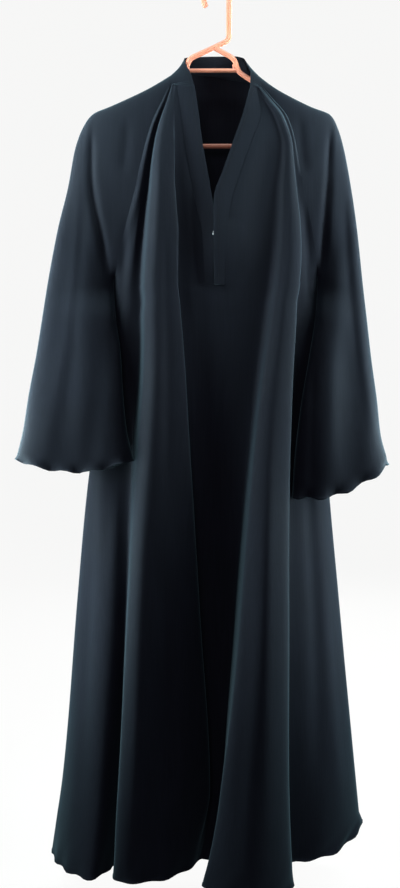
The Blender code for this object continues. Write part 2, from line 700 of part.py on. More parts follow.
def tube_from(name, points, radius):
    """A closed tube mesh along points given as (x, drop), in the hanger's plane."""
    curve = bpy.data.curves.new(name, "CURVE")
    curve.dimensions = "3D"
    curve.bevel_depth = radius * MM
    curve.bevel_resolution = 2
    curve.use_fill_caps = True
    spline = curve.splines.new("POLY")
    spline.points.add(len(points) - 1)
    for target, (x, drop) in zip(spline.points, points):
        target.co = (x * MM, 0.0, -drop * MM, 1.0)
    guide = bpy.data.objects.new(name, curve)
    bpy.context.scene.collection.objects.link(guide)
    bpy.context.view_layer.update()
    evaluated = guide.evaluated_get(bpy.context.evaluated_depsgraph_get())
    mesh = bpy.data.meshes.new_from_object(evaluated)
    bpy.data.objects.remove(guide)
    bm = bmesh_from(mesh)
    bmesh.ops.remove_doubles(bm, verts=bm.verts, dist=0.00001)
    bmesh.ops.recalc_face_normals(bm, faces=bm.faces)
    bm.to_mesh(mesh)
    bm.free()
    mesh.shade_smooth()
    return bpy.data.objects.new(name, mesh)


def bmesh_from(mesh):
    bm = bmesh.new()
    bm.from_mesh(mesh)
    return bm


def arc(centre, radius, start, end, count):
    angles = [math.radians(start + (end - start) * i / count) for i in range(count + 1)]
    return [(centre[0] + radius * math.cos(a), centre[1] - radius * math.sin(a))
            for a in angles]


def rounded(points, radius, count=4):
    """A path whose corners are turned with short quadratic bends."""
    result = [points[0]]
    for before, corner, after in zip(points, points[1:], points[2:]):
        ends = []
        for other in (before, after):
            length = math.dist(corner, other)
            t = min(radius / length, 0.5)
            ends.append((corner[0] + (other[0] - corner[0]) * t,
                         corner[1] + (other[1] - corner[1]) * t))
        for i in range(count + 1):
            t = i / count
            result.append(tuple((1 - t) ** 2 * ends[0][j] + 2 * t * (1 - t) * corner[j]
                                + t * t * ends[1][j] for j in (0, 1)))
    result.append(points[-1])
    return result


# One arm of the hanger from its strap notch to its end, as distance from the middle and drop.
ARM = ((39, 118), (44, 139), (70, 156), (112, 181.5), (164, 209), (199, 222.5),
       (206, 240), (194, BOTTOM_BAR_DROP), (168, BOTTOM_BAR_DROP))
APEX = (-4.0, 98.5)
STEM_FOOT = (HOOK_RADIUS, 86.0)
HOOK_CENTRE = (0.0, 17.0)
HOOK_TIP_ANGLE = 212.0
# The small nub by the right notch, as distance from the middle and height over the cross bar.
NUB = ((38.5, 0), (37.5, 10))
BAR_LAP = 8.0
BEND_RADIUS = 9.0


def make_hanger():
    left_arm = [(HANGER_MID - out, drop) for out, drop in ARM]
    right_arm = [(HANGER_MID + out, drop) for out, drop in ARM]
    hook = arc(HOOK_CENTRE, HOOK_RADIUS, HOOK_TIP_ANGLE, 0, 14)
    main = hook[:-1] + rounded([hook[-1], STEM_FOOT, APEX] + left_arm, BEND_RADIUS)
    right = rounded([APEX] + right_arm, BEND_RADIUS)
    bar_end = ARM[-1][0] + BAR_LAP
    bar = [(HANGER_MID - bar_end, BOTTOM_BAR_DROP), (HANGER_MID, BOTTOM_BAR_DROP),
           (HANGER_MID + bar_end, BOTTOM_BAR_DROP)]
    notch = ARM[1][0]
    cross = [(HANGER_MID - notch, CROSS_BAR_DROP), (HANGER_MID + notch, CROSS_BAR_DROP)]
    nub = [(HANGER_MID + out, CROSS_BAR_DROP - up) for out, up in NUB]
    hanger = tube_from("hanger", main, TUBE_RADIUS)
    others = [tube_from("right_arm", right, RIGHT_ARM_RADIUS),
              tube_from("bottom_bar", bar, BOTTOM_BAR_RADIUS),
              tube_from("cross_bar", cross, CROSS_BAR_RADIUS),
              tube_from("nub", nub, NUB_RADIUS)]
    cutters = bpy.data.collections.new("hanger_tubes")
    bpy.context.scene.collection.children.link(cutters)
    for tube in others:
        cutters.objects.link(tube)
        tube.hide_render = True
        tube.display_type = "WIRE"
        union = hanger.modifiers.new("join_" + tube.name, "BOOLEAN")
        union.operation = "UNION"
        union.solver = "EXACT"
        union.object = tube
    return hanger


def make_snap():
    """The press stud, clear plastic, between the two laps of the neck band."""
    under = float(NECK_EDGES["sleeve_right"].at("edge_y", SNAP_DROP))
    over = float(NECK_EDGES["sleeve_left"].at("edge_y", SNAP_DROP))
    x = float(NECK_EDGES["sleeve_left"].at("edge_x", SNAP_DROP)) + SNAP_RADIUS - SNAP_INSET
    mesh = bpy.data.meshes.new("snap")
    bm = bmesh.new()
    bmesh.ops.create_cone(bm, cap_ends=True, segments=20, radius1=SNAP_RADIUS * MM,
                          radius2=SNAP_RADIUS * SNAP_TAPER * MM, depth=SNAP_THICKNESS * MM)
    bm.to_mesh(mesh)
    bm.free()
    snap = bpy.data.objects.new("snap", mesh)
    snap.rotation_euler = (math.pi / 2, 0, 0)
    snap.location = (x * MM, (under + over) / 2 * MM, -SNAP_DROP * MM)
    return snap


def material(name, colour, roughness):
    result = bpy.data.materials.new(name)
    result.use_nodes = True
    shader = result.node_tree.nodes["Principled BSDF"]
    shader.inputs["Base Color"].default_value = colour
    shader.inputs["Roughness"].default_value = roughness
    shader.inputs["Metallic"].default_value = 0.0
    return result


def main():
    for old in list(bpy.data.objects):
        bpy.data.objects.remove(old)
    parts = bpy.data.collections.new(COLLECTION)
    bpy.context.scene.collection.children.link(parts)
    cloths = [make_front(), make_back(), make_sleeve("sleeve_right"),
              make_sleeve("sleeve_left"), make_band()]
    normals = shared_normals(cloths)
    pieces = [cloth.build(normals) for cloth in cloths] + [make_snap(), make_hanger()]
    for piece in pieces:
        parts.objects.link(piece)
        if piece.name == "hanger":
            finish = material("hanger_plastic", HANGER_COLOUR, 0.35)
        elif piece.name == "snap":
            finish = material("snap_plastic", SNAP_COLOUR, 0.2)
        else:
            finish = material(piece.name + "_crepe", CLOTH_COLOUR, 0.75)
        piece.data.materials.append(finish)


main()
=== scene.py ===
# The finish of the long dark abaya on its hanger: fine cloth shells, sewing and materials.
# The frame is in metres, +Z up, with its origin at the inner top of the hanger's hook.
# Sizes in the tables are millimetres, and "drop" is the distance below the origin.
import math

import bmesh
import bpy
import numpy as np
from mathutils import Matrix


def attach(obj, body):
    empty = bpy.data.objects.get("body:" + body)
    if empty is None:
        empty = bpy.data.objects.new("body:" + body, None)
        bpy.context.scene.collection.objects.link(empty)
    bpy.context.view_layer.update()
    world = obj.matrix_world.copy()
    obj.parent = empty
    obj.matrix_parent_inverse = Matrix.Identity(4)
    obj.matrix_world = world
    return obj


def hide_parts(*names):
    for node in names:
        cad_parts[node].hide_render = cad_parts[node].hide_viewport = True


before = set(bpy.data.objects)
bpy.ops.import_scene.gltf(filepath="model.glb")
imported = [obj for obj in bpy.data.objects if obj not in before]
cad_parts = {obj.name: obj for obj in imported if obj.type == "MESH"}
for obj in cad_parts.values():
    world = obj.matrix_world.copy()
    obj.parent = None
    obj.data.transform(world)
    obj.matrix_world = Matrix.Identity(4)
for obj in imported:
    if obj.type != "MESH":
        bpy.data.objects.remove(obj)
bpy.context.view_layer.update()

MM = 0.001
CLOTH_WALL = 0.9
SEAM_GAP = 0.06

# Hem frill: the rolled edge stretches into small waves.
FRILL_WAVE = 46.0
FRILL_DEPTH = 5.0
FRILL_FADE = 18.0
FRILL_DIP = 2.6
# Longer runs over which the waves come closer together, and grow and shrink.
FRILL_PACE, FRILL_PACE_RUN = 0.9, 97.0
FRILL_SWELL, FRILL_SWELL_RUN = 0.25, 61.0
# The hem is heavier than the cuffs and waves less.
HEM_FRILL_SHARE = 0.45

UNDERARM_DROP = 507.0
HEM_DROP = 1470.0
LAST_FLAT_DROP = 1412.0
UNDERARM_STATION = 8
CUFF_STATION = 13
FRILL_STATION = 12.6
NECK_SAG = 5.0
BACK_NECK_STATIONS = 2.5

# How finely the shells are made: steps a station, rows below the underarm, columns.
STATION_STEPS = 8
SLEEVE_ROWS_A_STATION = 11
BODY_ROWS = 132
HEM_ROWS = 12
STEPS_PER_FOLD = 8
BACK_STEPS = 92
SLEEVE_STEPS = 30
BAND_STEPS = 8


class Table:
    """Rows of numbers with named columns, read smoothly between the rows."""

    def __init__(self, columns, rows):
        self.columns = {name: i for i, name in enumerate(columns.split())}
        self.rows = np.array(rows, dtype=float)

    def at(self, name, where):
        return smooth_read(self.rows[:, 0], self.rows[:, self.columns[name]], where)

    def each(self):
        for row in self.rows:
            yield {name: row[i] for name, i in self.columns.items()}


def slopes(knots, values):
    """Slopes that never overshoot: flat at a peak or a hollow."""
    steps = np.diff(knots)
    rises = np.diff(values) / steps
    result = np.zeros(len(values))
    for i in range(1, len(values) - 1):
        before, after = rises[i - 1], rises[i]
        if before * after > 0:
            w1, w2 = 2 * steps[i] + steps[i - 1], steps[i] + 2 * steps[i - 1]
            result[i] = (w1 + w2) / (w1 / before + w2 / after)
    result[0], result[-1] = rises[0], rises[-1]
    return result


def smooth_read(knots, values, where, tangents=None):
    knots, values = np.asarray(knots, float), np.asarray(values, float)
    tangents = slopes(knots, values) if tangents is None else tangents
    where = np.clip(where, knots[0], knots[-1])
    i = np.clip(np.searchsorted(knots, where, side="right") - 1, 0, len(knots) - 2)
    step = knots[i + 1] - knots[i]
    t = (where - knots[i]) / step
    return ((1 + 2 * t) * (1 - t) ** 2 * values[i] + t * (1 - t) ** 2 * step * tangents[i]
            + t * t * (3 - 2 * t) * values[i + 1] + t * t * (t - 1) * step * tangents[i + 1])


def ease(t):
    t = np.clip(t, 0.0, 1.0)
    return t * t * (3 - 2 * t)


# Sleeve sections, fanned from the neck (0) to the underarm (8) and on to the cuff (13).
# "top" is the outer edge, over the hanger arm and down; "inner" is the raglan seam and then
# the inner edge. inner_half is half the gap between the two raglan seams.
SLEEVE_COLUMNS = ("station top_x top_y top_drop inner_x inner_y inner_drop inner_half half "
                  "back_rise back_in")
SLEEVES = {
    "sleeve_right": Table(SLEEVE_COLUMNS, (
        (0, -75, 0, 145.5, -79, 0, 165, 12, 12, 24, 14),
        (1, -120, 0, 173.5, -90, 0, 190, 14, 13, 18, 9),
        (2, -178, 0, 200.5, -109, 0, 231, 16, 14, 10, 5),
        (3, -209, 0, 214, -120, 0, 268, 17, 15, 7, 2),
        (4, -225, 0, 235, -130, 0, 309, 17, 16, 5, 0),
        (5, -239, 0, 272, -137, 0, 342, 16, 17, 4, 0),
        (6, -251, -2, 340, -155, 0, 411, 14, 18, 2, 0),
        (7, -267, -5, 409, -168, 0, 469, 10, 19, 0, 0),
        (8, -284, -10, 507, -174, -1, 507, 0, 20, 0, 0),
        (9, -292, -15, 563, -169, -16, 563, 0, 20, 0, 0),
        (10, -301, -18, 620, -161, -21, 620, 0, 20, 0, 0),
        (11, -313, -24, 690, -156, -28, 690, 0, 22, 0, 0),
        (12, -321, -28, 750, -149, -32, 755, 0, 25, 0, 0),
        (13, -331, -32, 798, -138, -34, 800, 0, 28, 0, 0))),
    "sleeve_left": Table(SLEEVE_COLUMNS, (
        (0, 69, 0, 146, 76, 0, 169, 12, 12, 16, -14),
        (1, 101, 0, 171.5, 95, 0, 192, 14, 13, 13, -9),
        (2, 158, 0, 201.5, 119, 0, 222, 16, 14, 10, -5),
        (3, 193, 0, 216, 132, 0, 262, 17, 15, 7, -2),
        (4, 205, 0, 238, 139, 0, 305, 17, 16, 5, 0),
        (5, 215, 0, 272, 146, 0, 342, 16, 17, 4, 0),
        (6, 227, -2, 340, 160, 0, 406, 14, 18, 2, 0),
        (7, 236, -5, 409, 168, 0, 460, 10, 19, 0, 0),
        (8, 245, -10, 507, 171, -1, 507, 0, 20, 0, 0),
        (9, 251, -15, 570, 165, -16, 566, 0, 20, 0, 0),
        (10, 257, -18, 630, 155, -21, 630, 0, 20, 0, 0),
        (11, 265, -24, 700, 141, -27, 710, 0, 22, 0, 0),
        (12, 270, -27, 755, 131, -30, 790, 0, 25, 0, 0),
        (13, 283, -30, 806, 125, -32, 862, 0, 28, 0, 0)))}

# Where the neck edge of each front lies: the seam between front and band, and the free edge.
NECK_COLUMNS = "drop seam_x seam_y edge_x edge_y"
NECK_EDGES = {
    "sleeve_right": Table(NECK_COLUMNS, (
        (165, -67, -14, -38, -17),
        (213, -60, -16, -31, -20),
        (261, -55, -17, -25, -22),
        (318, -45, -18, -15, -23),
        (371, -34, -19, -6, -24),
        (420, -24, -20, 1, -25),
        (507, -20, -20, 2, -20.5))),
    "sleeve_left": Table(NECK_COLUMNS, (
        (165, 66, -14, 58, -17),
        (211, 74, -18, 46, -21),
        (253, 61, -22, 32, -24),
        (311, 41, -25, 12, -28),
        (366, 24, -28, -5, -31),
        (420, 16, -30, -5, -31.5),
        (507, 13, -22.5, -4, -26)))}

# The band's free edge round the neck, from one side over the back to the other.
COLLAR_TOP = Table("around x y drop", (
    (0.0, -38, -17, 170),
    (0.6, -44, -13, 148),
    (1.0, -53, -4, 126),
    (1.6, -54, 9, 112),
    (2.1, -36, 18, 106),
    (3.0, -2, 22, 103),
    (3.9, 32, 19, 104),
    (4.4, 45, 10, 111),
    (5.0, 52, -4, 130),
    (5.4, 57, -12, 148),
    (6.0, 56, -18, 174)))
COLLAR_CORNERS = (0.0, 0.35, 1.6, 4.4, 5.65, 6.0)
BACK_NECK = Table("across rise bulge", (
    (0.0, 0, 0),
    (0.22, 7, 3),
    (0.45, 7.5, 6),
    (0.65, 5.5, 7),
    (0.85, 2.5, 3),
    (1.0, 0, 0)))

# Front sections: one row a height, one column a fold line, image left to image right.
# ACROSS is how far a line lies from a half's left border to its right border.
LEFT_LINES = 8
FRONT_LINES = ("swell_1 swell_2 hollow_a ridge_a crown_a belly_a edge_a tuck_a "
               "hollow_b ridge_b crown_b edge_b tuck_b swell_3 swell_4")
FRONT_ACROSS = Table("drop " + FRONT_LINES, (
    (165, .12, .20, .30, .40, .50, .60, .70, .80, .22, .38, .48, .58, .68, .78, .88),
    (213, .10, .16, .24, .32, .45, .56, .70, .76, .45, .58, .68, .78, .82, .88, .94),
    (268, .08, .14, .20, .28, .42, .58, .74, .735, .64, .76, .83, .90, .895, .93, .965),
    (342, .08, .14, .21, .31, .44, .57, .695, .68, .57, .71, .79, .88, .87, .92, .96),
    (507, .06, .18, .29, .37, .48, .60, .715, .70, .44, .56, .66, .775, .76, .85, .93),
    (560, .075, .20, .316, .391, .50, .624, .748, .733, .38, .487, .586, .711, .70, .80, .91),
    (785, .105, .245, .345, .42, .535, .68, .845, .832, .225, .285, .42, .605, .59, .755, .88),
    (1040, .108, .26, .375, .41, .53, .715, .91, .90, .10, .145, .305, .52, .505, .725, .875),
    (1345, .103, .286, .395, .405, .51, .70, .98, .975, .03, -.01, .19, .465, .456, .68, .875),
    (1470, .11, .32, .445, .455, .56, .74, .92, .97, .07, -.05, .21, .49, .49, .67, .85)))
FRONT_Y = Table("drop " + FRONT_LINES, (
    (165, -12, -12, -12, -13, -13, -13, -14, -14, -14, -14, -14, -13, -13, -12, -12),
    (213, -16, -15, -14, -18, -20, -20, -19, -18, -19, -22, -22, -20, -18, -16, -16),
    (268, -18, -16, -13, -23, -28, -27, -24, -21, -21, -25, -26, -23, -19, -17, -17),
    (342, -18, -16, -11, -28, -35, -33, -28, -21.5, -21, -28, -30, -26, -18.5, -16, -16),
    (507, -9, -13, -10, -31, -39, -36, -30, -22, -21, -35, -41, -35, -17, -12, -8),
    (785, 0, -4, -8, -43, -57, -49, -37, -22, -23, -55, -66, -54, -22, -6, 2),
    (1040, -2, -18, -16, -54, -70, -60, -38, -22, -24, -80, -95, -76, -26, -12, 2),
    (1345, -22, -50, -25, -66, -82, -72, -34, -23, -24, -94, -120, -89, -30, -26, -6),
    (1470, -34, -74, -30, -72, -86, -78, -42, -28, -24, -98, -130, -94, -34, -32, -10)))

# Body sides, the seam of front and back, and the middle of the front below the slit.
SIDES = Table("drop left_x left_y right_x right_y mid_left mid_right mid_y", (
    (507, -175.5, 0, 172.5, 0, -20, 13, -21.5),
    (530, -176, 6, 173, 6, -19, 13, -21),
    (560, -182, 10, 178, 10, -18, 13, -20),
    (600, -184, 13, 181, 13, -17, 13, -20),
    (650, -189, 15, 183, 15, -16, 13, -20),
    (785, -213, 18, 189, 18, -13, 13, -19),
    (1040, -240, 24, 211, 22, -8, 11, -19),
    (1345, -267, 32, 242, 30, -6, 3, -19),
    (1470, -286, 38, 256, 36, -24, -11, -20)))

# The hem's drop along the front, image left to right, and along the back.
FRONT_HEM = Table("across drop", (
    (0.0, 1478), (0.12, 1470), (0.3, 1470), (0.6, 1466), (0.8, 1468), (0.92, 1455), (1.0, 1428)))
BACK_HEM = Table("across drop", (
    (0.0, 1478), (0.25, 1474), (0.5, 1470), (0.8, 1458), (1.0, 1428)))

# Soft flutes of the back, hidden in the photograph and like those of the front.
BACK_FLUTES = Table("flute across width depth start", (
    (0, 0.16, 0.075, 20, 420),
    (1, 0.33, 0.085, -18, 330),
    (2, 0.52, 0.080, 24, 240),
    (3, 0.69, 0.090, -16, 300),
    (4, 0.85, 0.070, 19, 450)))
FLUTE_END = 0.12
FLUTE_GROWTH = 0.8
# The power of the rounded lens that the back's section follows.
LENS_POWER = 2.6
BACK_DEPTH = Table("drop depth", (
    (147, 2), (268, 4), (342, 7), (411, 10), (469, 15), (507, 25), (530, 22), (560, 20),
    (600, 18), (650, 17), (785, 14), (1040, 20), (1470, 28)))

# The dark trough that runs from each hanger end to the underarm and parts arm from body.
ARM_TROUGH = {
    "sleeve_right": Table("drop x", ((225, -212), (340, -209), (425, -194), (500, -181))),
    "sleeve_left": Table("drop x", ((225, 194), (340, 187), (425, 181), (500, 176)))}
TROUGH_DEPTH = 5.0
TROUGH_WIDTH = 5.5
TROUGH_BACK_SHARE = 0.6
TROUGH_TOP, TROUGH_TOP_FADE, TROUGH_END_FADE = 225.0, 60.0, 90.0

# Where the raglan seams start to close into a rounded fold, and how round its inner edge is.
CLOSING_FROM = 7
CLOSED_BEND = 1.3
# The outer edge is flat over the hanger arm at the neck and rounds off by this station.
OUTER_ROUND_BY = 1.5
# A long soft wave round each hanging sleeve.
SLEEVE_WAVE_FROM, SLEEVE_WAVE_STATIONS = 5, 8
SLEEVE_WAVE_DEPTH, SLEEVE_WAVE_BACK_SHARE = 3.0, 0.7
SLEEVE_WAVES, SLEEVE_WAVE_DRIFT = 1.35, 0.06
CUFF_DIP_FROM = 10
CUFF_DIP = 19.0

# An edge sharper than this many degrees is drawn as an edge.
SHARP_ANGLE = 50
BAND_WALL = 1.5
CUFF_DEPTH = 26.0

# The rolled edge: distances from the hem of its last rows, and the wall's thickness there.
ROLL_DISTANCES = (4.4, 3.0, 2.0, 1.0, 0.35, 0.0)
ROLL_WALLS = (0.9, 1.5, 2.1, 2.2, 1.7, 0.9)

# Creases listed on the front and the back of the cloth. A positive depth is a ridge
# and a negative one a trough; bow bends the crease sideways at its middle.
CREASE_COLUMNS = "crease x drop to_x to_drop width depth bow"
CREASE_FADE = 0.3
CREASES = {
    "front": Table(CREASE_COLUMNS, (
        (1, -226, 270, -268, 800, 9, 1.0, 6),
        (2, -222, 300, -262, 800, 6, -1.2, 7),
        (3, -243, 560, -283, 830, 12, 1.2, -4),
        (4, -196, 560, -212, 830, 14, -1.6, 5),
        (5, -176, 640, -176, 830, 10, 1.6, 3),
        (6, -150, 360, -178, 640, 8, -1.8, 4),
        (7, 213, 300, 250, 800, 6, -1.1, -6),
        (8, 219, 280, 262, 820, 9, 1.0, -5),
        (9, 188, 560, 196, 870, 12, 1.5, -4),
        (10, 222, 600, 226, 880, 14, -1.5, 5),
        (11, 160, 620, 154, 880, 9, -2.2, 3),
        (12, 146, 350, 170, 600, 8, -1.8, -5),
        (13, 82, 246, 30, 402, 7, 1.8, -8),
        (14, 98, 250, 62, 470, 9, -1.4, -7),
        (15, 8, 396, 34, 402, 4, -1.3, 2),
        (16, -58, 240, -40, 640, 8, 1.3, 4),
        (17, -92, 330, -84, 900, 8, -1.5, 6),
        (18, -4, 540, -2, 1120, 10, 1.2, 3),
        (19, 12, 600, 4, 1200, 7, -1.1, -3),
        (20, -118, 760, -124, 1460, 12, 2.2, -6),
        (21, -92, 900, -74, 1460, 14, -2.4, 5),
        (22, -64, 980, -44, 1460, 10, 1.8, -4),
        (23, 52, 820, 22, 1480, 12, -2.2, 6),
        (24, 84, 700, 76, 1480, 12, 2.4, -5),
        (25, 150, 700, 168, 1440, 13, -2.6, 6),
        (26, 180, 900, 212, 1440, 12, 2.2, -5),
        (27, -196, 620, -226, 1460, 13, -2.6, -6),
        (28, -172, 760, -182, 1460, 11, 2.2, 5),
        (29, -176, 470, -158, 600, 6, -2.2, -3),
        (30, 174, 465, 160, 600, 6, -2.2, 3),
        (31, -216, 214, -200, 360, 6, 1.6, -3),
        (32, 198, 216, 184, 350, 6, 1.6, 3),
        (33, -150, 215, -160, 330, 8, -1.3, 3),
        (34, 140, 212, 150, 330, 8, -1.3, -3))),
    "back": Table(CREASE_COLUMNS, (
        (1, -120, 300, -150, 900, 12, 2.4, 8),
        (2, -60, 240, -74, 1100, 12, -2.4, -8),
        (3, 4, 210, 10, 820, 10, 2.0, 6),
        (4, 66, 250, 84, 1200, 12, -2.4, 8),
        (5, 118, 320, 140, 960, 10, 2.2, -7),
        (6, -170, 760, -214, 1460, 13, 2.6, -6),
        (7, -104, 860, -118, 1460, 12, -2.4, 5),
        (8, -20, 700, -30, 1460, 13, 2.4, -7),
        (9, 52, 900, 60, 1460, 11, 2.0, 5),
        (10, 150, 800, 190, 1430, 12, -2.4, 5),
        (11, -222, 280, -262, 800, 9, -2.4, 6),
        (12, -196, 520, -214, 820, 11, 2.6, -5),
        (13, 212, 280, 250, 800, 9, -2.4, -6),
        (14, 186, 540, 200, 870, 11, 2.6, 5),
        (15, -150, 215, -130, 400, 8, -1.4, 4),
        (16, 132, 215, 118, 400, 8, -1.4, -4),
        (17, -176, 460, -150, 600, 7, -2.2, 3),
        (18, 172, 455, 150, 600, 7, -2.2, -3)))}

# How quickly a crease fades out where the cloth turns away from its side.
FACING_GAIN = 1.6

# The long soft unevenness of cloth under its own weight.
DRIFT_DEPTH, DRIFT_ACROSS, DRIFT_DOWN, DRIFT_BEND = 0.9, 21.0, 260.0, 1.6
DRIFT_FROM, DRIFT_FULL = 260.0, 700.0


def new_object(name, data):
    piece = bpy.data.objects.new(name, data)
    bpy.context.scene.collection.objects.link(piece)
    return piece


def frill(points, depth_fraction, share=1.0):
    """Push a row of hem points in and out along the cloth's normal, in uneven waves."""
    points = np.array(points)
    run = np.concatenate(([0], np.cumsum(np.hypot(*np.diff(points[:, :2], axis=0).T))))
    along = np.gradient(points[:, :2], axis=0)
    along /= np.maximum(np.hypot(along[:, 0], along[:, 1]), 1e-6)[:, None]
    swing = np.sin(2 * math.pi * run / FRILL_WAVE + FRILL_PACE * np.sin(run / FRILL_PACE_RUN))
    swing *= share * (1 - FRILL_SWELL + FRILL_SWELL * np.sin(run / FRILL_SWELL_RUN))
    swing *= ease(run / FRILL_FADE) * ease((run[-1] - run) / FRILL_FADE)
    ahead = np.array([np.interp(run + FRILL_FADE, run, points[:, i]) for i in (0, 1)])
    behind = np.array([np.interp(run - FRILL_FADE, run, points[:, i]) for i in (0, 1)])
    swing *= ease(np.hypot(*(ahead - behind)) / FRILL_FADE - 1)
    depth = FRILL_DEPTH * depth_fraction ** 2
    points[:, 0] += along[:, 1] * swing * depth
    points[:, 1] -= along[:, 0] * swing * depth
    points[:, 2] += FRILL_DIP * depth_fraction ** 2 * swing
    return points


def side_rounding(station):
    """The front and back seams close up to a rounded fold just above the underarm."""
    return float(ease(station - CLOSING_FROM))


def sleeve_section(side, station, across):
    """Points from the front raglan seam, over the outer edge, to the back raglan seam."""
    table = SLEEVES[side]
    value = {name: float(table.at(name, station)) for name in table.columns}
    length = 2 * np.abs(across - 0.5)
    closed = side_rounding(station)
    to_top = 1 - length
    reach = ((1 - closed) * np.sin(math.pi * to_top / 2)
             + closed * (1 - np.cos(math.pi * to_top)) / 2)
    on_back = across > 0.5
    start = min(value["inner_half"] / value["half"], 1.0)
    inner_bend = 1 + CLOSED_BEND * closed
    inner_round = start + (1 - start) * (1 - (1 - reach) ** inner_bend) ** (1 / inner_bend)
    top_bend = 2 + 2 * float(ease(station / OUTER_ROUND_BY))
    half = value["half"] * inner_round * (1 - reach ** top_bend) ** (1 / top_bend)
    half = np.where(reach > 0.9999, 0.0, half)
    x = value["inner_x"] + (value["top_x"] - value["inner_x"]) * reach
    x = x + np.where(on_back, value["back_in"] * (1 - reach), 0)
    drop = value["inner_drop"] + (value["top_drop"] - value["inner_drop"]) * reach
    drop = drop - np.where(on_back, value["back_rise"] * (1 - reach), 0)
    y = value["inner_y"] + (value["top_y"] - value["inner_y"]) * reach
    y = y + np.where(on_back, half, -half)
    trough = ARM_TROUGH[side].at("x", drop)
    fade = ease((drop - TROUGH_TOP) / TROUGH_TOP_FADE)
    fade = fade * ease((UNDERARM_DROP + 10 - drop) / TROUGH_END_FADE)
    y = y + np.where(on_back, -TROUGH_BACK_SHARE, 1.0) * TROUGH_DEPTH * fade * (
        np.exp(-((x - trough) / TROUGH_WIDTH) ** 2))
    grown = min(max((station - SLEEVE_WAVE_FROM) / SLEEVE_WAVE_STATIONS, 0), 1)
    swell = SLEEVE_WAVE_DEPTH * math.sin(math.pi * grown / 2) * np.sin(math.pi * reach)
    y = y - np.where(on_back, -SLEEVE_WAVE_BACK_SHARE, 1.0) * swell * (
        np.cos(2 * math.pi * (SLEEVE_WAVES * reach + SLEEVE_WAVE_DRIFT * station)))
    dipped = ease((station - CUFF_DIP_FROM) / (CUFF_STATION - CUFF_DIP_FROM))
    drop = drop + CUFF_DIP * dipped * np.sin(math.pi * reach)
    return np.column_stack((x, y, drop))


def front_half(drop, names, left, right):
    """The fold lines that one half of a front section passes through, with its two ends."""
    points = [left]
    for name in names:
        across = float(FRONT_ACROSS.at(name, drop))
        points.append((left[0] + (right[0] - left[0]) * across, float(FRONT_Y.at(name, drop))))
    return points + [right]


def through(controls, params, round_first, round_last):
    """A smooth curve through the control points; a rounded end turns square to X."""
    controls = np.array(controls)
    knots = np.arange(len(controls))
    slope_x, slope_y = slopes(knots, controls[:, 0]), slopes(knots, controls[:, 1])
    slope_x[0] *= 1 - round_first
    slope_x[-1] *= 1 - round_last
    x = smooth_read(knots, controls[:, 0], params, slope_x)
    y = smooth_read(knots, controls[:, 1], params, slope_y)
    return np.column_stack((x, y))


def fold_places(count):
    return np.linspace(0, count - 1, (count - 1) * STEPS_PER_FOLD + 1)


def side_end(name, drop):
    """Where the side seam of front and back lies at a drop, on the side named."""
    return float(SIDES.at(name + "_x", drop)), float(SIDES.at(name + "_y", drop))


def shoulder_stations():
    return np.linspace(0, UNDERARM_STATION, UNDERARM_STATION * STATION_STEPS + 1)


def body_drops():
    return np.linspace(UNDERARM_DROP, LAST_FLAT_DROP, BODY_ROWS + 1)[1:]


def hem_fractions(depth):
    """Shares of the frill's depth, closer together at the rolled edge."""
    plain = np.linspace(0, depth - ROLL_DISTANCES[0], HEM_ROWS)[1:-1]
    return np.concatenate((plain, depth - np.array(ROLL_DISTANCES))) / depth


def front_half_rows():
    """Rows of the two halves: from raglan or side seam to slit, and from slit to side."""
    left_rows, right_rows = [], []
    for station in shoulder_stations():
        ends = {side: sleeve_section(side, station, np.array([0.0]))[0] for side in SLEEVES}
        if station == UNDERARM_STATION:
            ends["sleeve_right"][:2] = side_end("left", UNDERARM_DROP)
            ends["sleeve_left"][:2] = side_end("right", UNDERARM_DROP)
        for side, rows in (("sleeve_right", left_rows), ("sleeve_left", right_rows)):
            drop = ends[side][2]
            neck = NECK_EDGES[side]
            seam = (float(neck.at("seam_x", drop)), float(neck.at("seam_y", drop)))
            end = tuple(ends[side][:2])
            is_right = side == "sleeve_right"
            names = FRONT_LINES.split()
            if is_right:
                half = front_half(drop, names[:LEFT_LINES], end, seam)
            else:
                half = front_half(drop, names[LEFT_LINES:], seam, end)
            rounding = side_rounding(station)
            params = fold_places(len(half))
            flat = through(half, params, rounding * is_right, rounding * (not is_right))
            from_seam = params / params[-1]
            if not is_right:
                from_seam = 1 - from_seam
            drops = drop + NECK_SAG * (1 - station / UNDERARM_STATION) * from_seam
            rows.append(np.column_stack((flat, drops)))
    return left_rows, right_rows


def body_front_row(drop):
    """One row right across the front, below the slit: left half, middle, right half."""
    side_left, side_right = side_end("left", drop), side_end("right", drop)
    middle = float(SIDES.at("mid_y", drop))
    seam_left = (float(SIDES.at("mid_left", drop)), middle)
    seam_right = (float(SIDES.at("mid_right", drop)), middle)
    names = FRONT_LINES.split()
    controls = (front_half(drop, names[:LEFT_LINES], side_left, seam_left)
                + front_half(drop, names[LEFT_LINES:], seam_right, side_right))
    params = fold_places(len(controls))
    return through(controls, params, 1, 1), params / params[-1]


